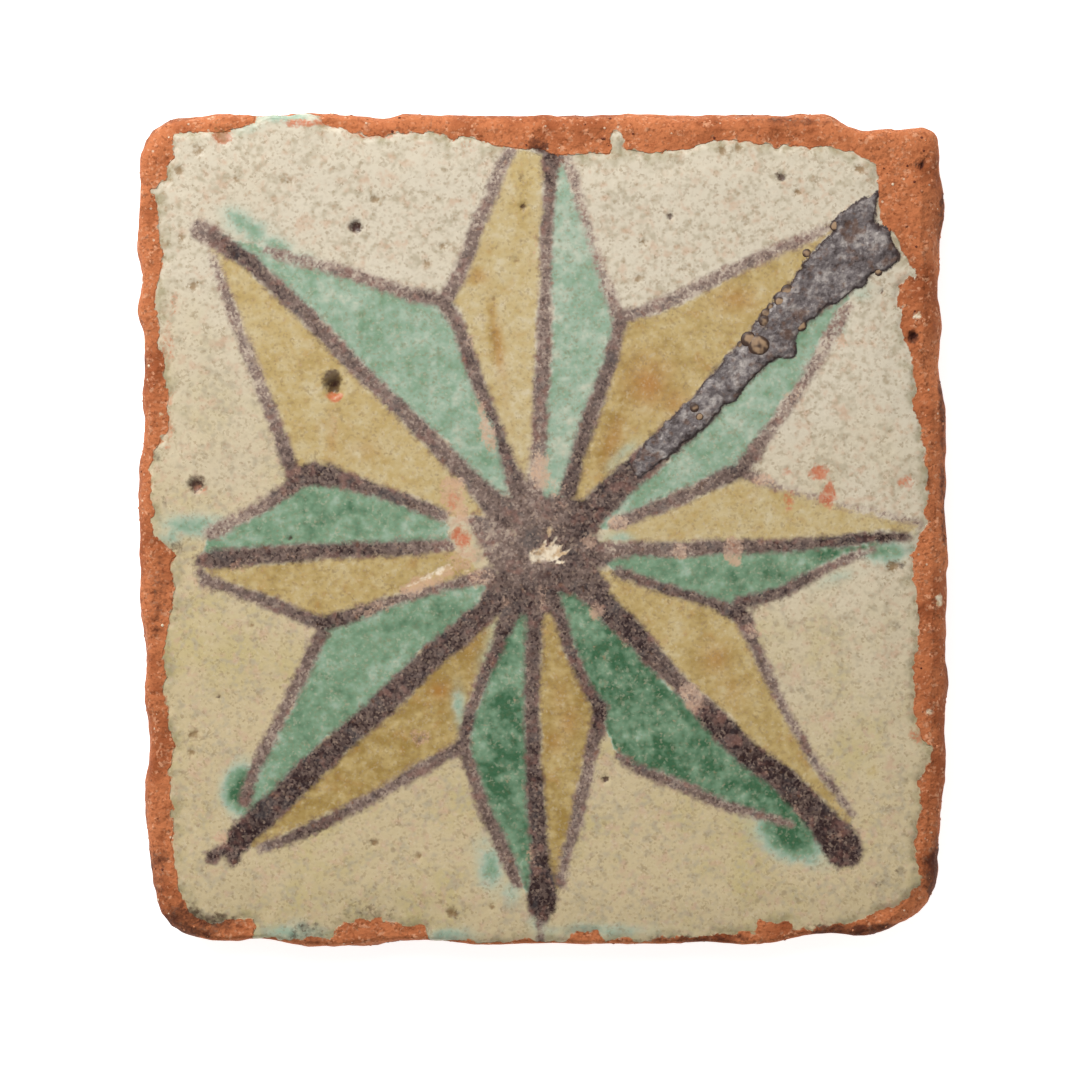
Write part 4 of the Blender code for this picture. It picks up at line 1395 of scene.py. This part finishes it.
to_edge = g.painted("glaze_edge")
glaze_on = g.step(to_edge + small[0] * 0.22 + fine[2] * 0.10, *GLAZE_CUT)
near_edge = g.step(to_edge + middling[0] * 0.9, *OLIVE_BAND)
glaze = g.tinted(cream_colour(), OLIVE, middling[1] + small[1] * 0.6, -0.8, 0.9, near_edge * OLIVE_SHARE)
glaze, ochre_amount = washed(glaze, "ochre", OCHRE_STOPS, small[1], middling[2] + small[0] * 0.7)
rusty = g.step(middling[0] + small[2] * 0.7, 0.1, 1.5) * g.step(ochre_amount, 0.2, 0.8)
rusted = g.painted("rust") * g.step(ochre_amount + small[1] * 0.2, 0.1, 0.6)
glaze = g.mix(g.maths("MAXIMUM", rusty * RUST_SHARES[0], rusted * RUST_SHARES[1]), glaze, RUST)
glaze, green_amount = washed(glaze, "green", GREEN_STOPS, small[2], middling[1] + small[1] * 0.7)
glaze = g.mix(on["worn"] * WORN_SHARES[0], glaze, WORN)
glaze = grained(glaze, g.step(green_amount, 0.3, 0.9))
glaze = slipped(inked(glaze, on["worn"]))
glaze = g.mix(on["worn"] * WORN_SHARES[1], glaze, WORN)
rubbed = g.tinted(BARE_CLAY, CLAY_LIGHT, small[0] + fine[0] * 0.3, -0.3, 1.2, 0.5)
glaze = g.mix(on["bare"] * BARE_SHARE, glaze, rubbed)

colour = g.mix(glaze_on, clay_colour(), glaze)
# Stains, and painted shade over the pits and along the right and bottom edges
colour = g.mix(on["stain"] * STAIN_AND_SHADE_SHARE, colour, GRIME_AND_SHADE)
colour = g.mix(on["crater"] * CRATER_SHARE, colour, CRATER_BROWN)
# Painted shade inside the deep pits
pit_shade_share = PIT_SHADE_SHARE - on["bare"] * PIT_SHADE_LESS_WHERE_BARE
colour = g.mix(on["pit"] * pit_shade_share, colour, PIT_SHADE_BROWN)
chalk = g.tinted(LIME, CHIP_TAN, small[1] + fine[0] * 0.3, -0.6, 0.8)
colour = g.mix(on["pale"], colour, chalk)

glaze_rough = g.step(middling[0], -1.0, 1.0, *GLAZE_ROUGHNESS)
rough_inputs = {0: glaze_on, 2: CLAY_ROUGHNESS, 3: glaze_rough}
roughness = g.node("ShaderNodeMix", {"data_type": "FLOAT"}, rough_inputs)
relief_share = g.step(to_edge, 0.1, -0.1, GLAZE_RELIEF, CLAY_RELIEF)
relief_share = relief_share + g.step(g.painted("slip_edge"), 0.0, 0.4) * SLIP_RELIEF
relief_inputs = {"Vector": g.place, "Scale": 1 / RELIEF_SIZE, "Detail": RELIEF_DETAIL}
relief = g.node("ShaderNodeTexNoise", {}, relief_inputs)
g.bump(relief * relief_share)
g.surface.inputs["Specular IOR Level"].default_value = SHEEN_LEVEL
tile_mesh.materials.append(g.finish(colour, roughness))
print("tile finish has", len(g.tree.nodes), "nodes")

# %% The tile as a piece
tile = bpy.data.objects.new("tile", tile_mesh)
bpy.context.scene.collection.objects.link(tile)
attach(tile, "root")
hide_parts(NODE)

# %% [markdown]
# ## Grit and blisters
# The clay was tempered with sand, so small hard grains stand out of every bare place, and gas made blisters
# in the thick stroke. Both repeat, so a node tree scatters them: it puts one small ball at each point, and
# each ball is closed and half sunk in the tile. A ball that is repeated hundreds of times has only twenty
# faces.


# %% Scattering with nodes
class Scatter:
    """A Geometry Nodes tree that puts flattened balls on a mesh, and the mesh that comes out of it."""

    def __init__(self, name, inputs):
        self.tree = bpy.data.node_groups.new(name, "GeometryNodeTree")
        self.tree.interface.new_socket("Mesh", in_out="INPUT", socket_type="NodeSocketGeometry")
        self.tree.interface.new_socket("Mesh", in_out="OUTPUT", socket_type="NodeSocketGeometry")
        self.values = {}
        for label, (kind, value) in inputs.items():
            socket = self.tree.interface.new_socket(label, in_out="INPUT", socket_type=kind)
            self.values[socket.identifier] = value
        self.given = self.tree.nodes.new("NodeGroupInput").outputs

    def node(self, kind, settings=None, inputs=None, output=0):
        """Adds a node, with a link or a plain value for each socket, and gives one of its outputs."""
        made = self.tree.nodes.new(kind)
        for name, setting in (settings or {}).items():
            setattr(made, name, setting)
        for key, value in (inputs or {}).items():
            if isinstance(value, bpy.types.NodeSocket):
                self.tree.links.new(value, made.inputs[key])
            else:
                made.inputs[key].default_value = value
        return made.outputs[output] if made.outputs else None

    def number(self, name):
        """A number that the mesh carries."""
        return self.node("GeometryNodeInputNamedAttribute", {"data_type": "FLOAT"}, {"Name": name})

    def balls(self, ball, points, size, material, turn=(0.0, 0.0, 0.0)):
        """Ends the tree: a ball at each point, of that size and flattened, turned and with a material."""
        shape = self.node("ShaderNodeCombineXYZ", {}, {0: 1.0, 1: 1.0, 2: self.given["Flatness"]})
        scale = self.node("ShaderNodeVectorMath", {"operation": "SCALE"}, {0: shape, "Scale": size})
        inputs = {"Points": points, "Instance": ball, "Rotation": turn, "Scale": scale}
        placed = self.node("GeometryNodeInstanceOnPoints", {}, inputs)
        real = self.node("GeometryNodeRealizeInstances", {}, {0: placed})
        dressed = self.node("GeometryNodeSetMaterial", {}, {0: real, "Material": material})
        self.node("NodeGroupOutput", {}, {0: dressed})

    def make(self, name, mesh):
        """Runs the tree on a mesh and gives an object that holds only what it made."""
        made = bpy.data.objects.new(name, mesh)
        bpy.context.scene.collection.objects.link(made)
        modifier = made.modifiers.new("scatter", "NODES")
        modifier.node_group = self.tree
        for identifier, value in self.values.items():
            modifier[identifier] = value
        graph = bpy.context.evaluated_depsgraph_get()
        plain = bpy.data.meshes.new_from_object(made.evaluated_get(graph))
        made.modifiers.remove(modifier)
        made.data = plain
        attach(made, "root")
        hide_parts(NODE)
        print(name, len(plain.polygons), "faces")
        return made


# %% Grit in the bare clay
GRIT_PER_SQUARE_METRE = 90000.0
GRIT_SIZE = (0.07, 0.30)
GRIT_FLATNESS = 0.55
GRIT_SEED = 7
GRIT_START = (0.3, 1.0)
IRON_GRAIN = seen(104, 58, 40)
BRICK_GRAIN = seen(202, 136, 100)
LIME_GRAIN = seen(226, 206, 178)
GRIT_STOPS = [(0.25, IRON_GRAIN), (0.5, BRICK_GRAIN), (0.8, BRICK_GRAIN), (1.0, LIME_GRAIN)]
GRIT_NOISE = (1.6, 0.0, 11.0)
GRIT_ROUGHNESS = 0.85

grit_finish = Graph("grit")
grit_colour = grit_finish.ramp(grit_finish.noises(*GRIT_NOISE)[0] * 0.5 + 0.5, GRIT_STOPS)
grit_finish.finish(grit_colour, GRIT_ROUGHNESS)

# Grit only where the clay is bare, and none under the tile or just above its foot
grit_share = np.ones(len(skin), np.float32)
grit_share[:face_count] = smooth(-glaze_edge, *GRIT_START)
grit_share[row_starts[side_rows - 2]:] = 0
ground = tile_mesh.copy()
ground.attributes.new("grit_share", "FLOAT", "POINT").data.foreach_set("value", grit_share)

grit_inputs = {
    "Density": ("NodeSocketFloat", GRIT_PER_SQUARE_METRE),
    "Seed": ("NodeSocketInt", GRIT_SEED),
    "Smallest": ("NodeSocketFloat", GRIT_SIZE[0] * MM),
    "Largest": ("NodeSocketFloat", GRIT_SIZE[1] * MM),
    "Flatness": ("NodeSocketFloat", GRIT_FLATNESS),
}
grit = Scatter("grit_tree", grit_inputs)
given = grit.given
share_inputs = {0: grit.number("grit_share"), 1: given["Density"]}
density = grit.node("ShaderNodeMath", {"operation": "MULTIPLY"}, share_inputs)
at_random = {"distribute_method": "RANDOM"}
point_inputs = {"Mesh": given["Mesh"], "Density": density, "Seed": given["Seed"]}
scattered = grit.node("GeometryNodeDistributePointsOnFaces", at_random, point_inputs)
size_inputs = {2: given["Smallest"], 3: given["Largest"], "Seed": given["Seed"]}
grain_size = grit.node("FunctionNodeRandomValue", {"data_type": "FLOAT"}, size_inputs, 1)
grain = grit.node("GeometryNodeMeshIcoSphere", {}, {"Radius": 1.0, "Subdivisions": 1})
grit.balls(grain, scattered, grain_size, grit_finish.material, scattered.node.outputs["Rotation"])
grit.make("grit", ground)

# %% Blisters along the thick stroke
# Middle and radius in photograph pixels
BLISTERS = [
    (787, 292, 7), (779, 302, 5), (766, 315, 6), (764, 322, 6), (748, 340, 8), (740, 345, 4),
    (758, 346, 11), (834, 227, 5), (806, 254, 5), (877, 272, 5), (800, 326, 6), (694, 408, 5),
    (699, 417, 4), (770, 308, 4),
]
BLISTER_FLATNESS = 0.26
BLISTER_SINK = 0.12
BLISTER_CROWN = (0.62, 1.05)
BLISTER_TAN = seen(160, 132, 104)
BLISTER_DARK = seen(76, 60, 52)
BLISTER_NOISE = (1.1, 1.0, 13.0)
BLISTER_MOTTLE = 0.3
BLISTER_ROUGHNESS = 0.5

blister_finish = Graph("blister")
crown = blister_finish.painted("crown") + blister_finish.noises(*BLISTER_NOISE)[0] * BLISTER_MOTTLE
blister_colour = blister_finish.tinted(BLISTER_DARK, BLISTER_TAN, crown, *BLISTER_CROWN)
blister_finish.finish(blister_colour, BLISTER_ROUGHNESS)

blister_places = on_face([(x, y) for x, y, across in BLISTERS])
nearest = [np.linalg.norm(flat - middle, axis=1).argmin() for middle in blister_places]
blister_radii = np.array([across for x, y, across in BLISTERS]) * PIXEL
heights = skin[nearest, 2] - blister_radii * BLISTER_SINK
seats = bpy.data.meshes.new("blister_seats")
seats.from_pydata((np.column_stack([blister_places, heights]) * MM).tolist(), [], [])
radii = (blister_radii * MM).astype(np.float32)
seats.attributes.new("radius", "FLOAT", "POINT").data.foreach_set("value", radii)

blisters = Scatter("blister_tree", {"Flatness": ("NodeSocketFloat", BLISTER_FLATNESS)})
dome = blisters.node("GeometryNodeMeshIcoSphere", {}, {"Radius": 1.0, "Subdivisions": 3})
ball_place = blisters.node("GeometryNodeInputPosition")
up = blisters.node("ShaderNodeSeparateXYZ", {}, {0: ball_place}, "Z")
crown_inputs = {"Geometry": dome, "Name": "crown", "Value": up}
on_points = {"data_type": "FLOAT", "domain": "POINT"}
crowned = blisters.node("GeometryNodeStoreNamedAttribute", on_points, crown_inputs)
blisters.balls(crowned, blisters.given["Mesh"], blisters.number("radius"), blister_finish.material)
blisters.make("blisters", seats).data.shade_smooth()
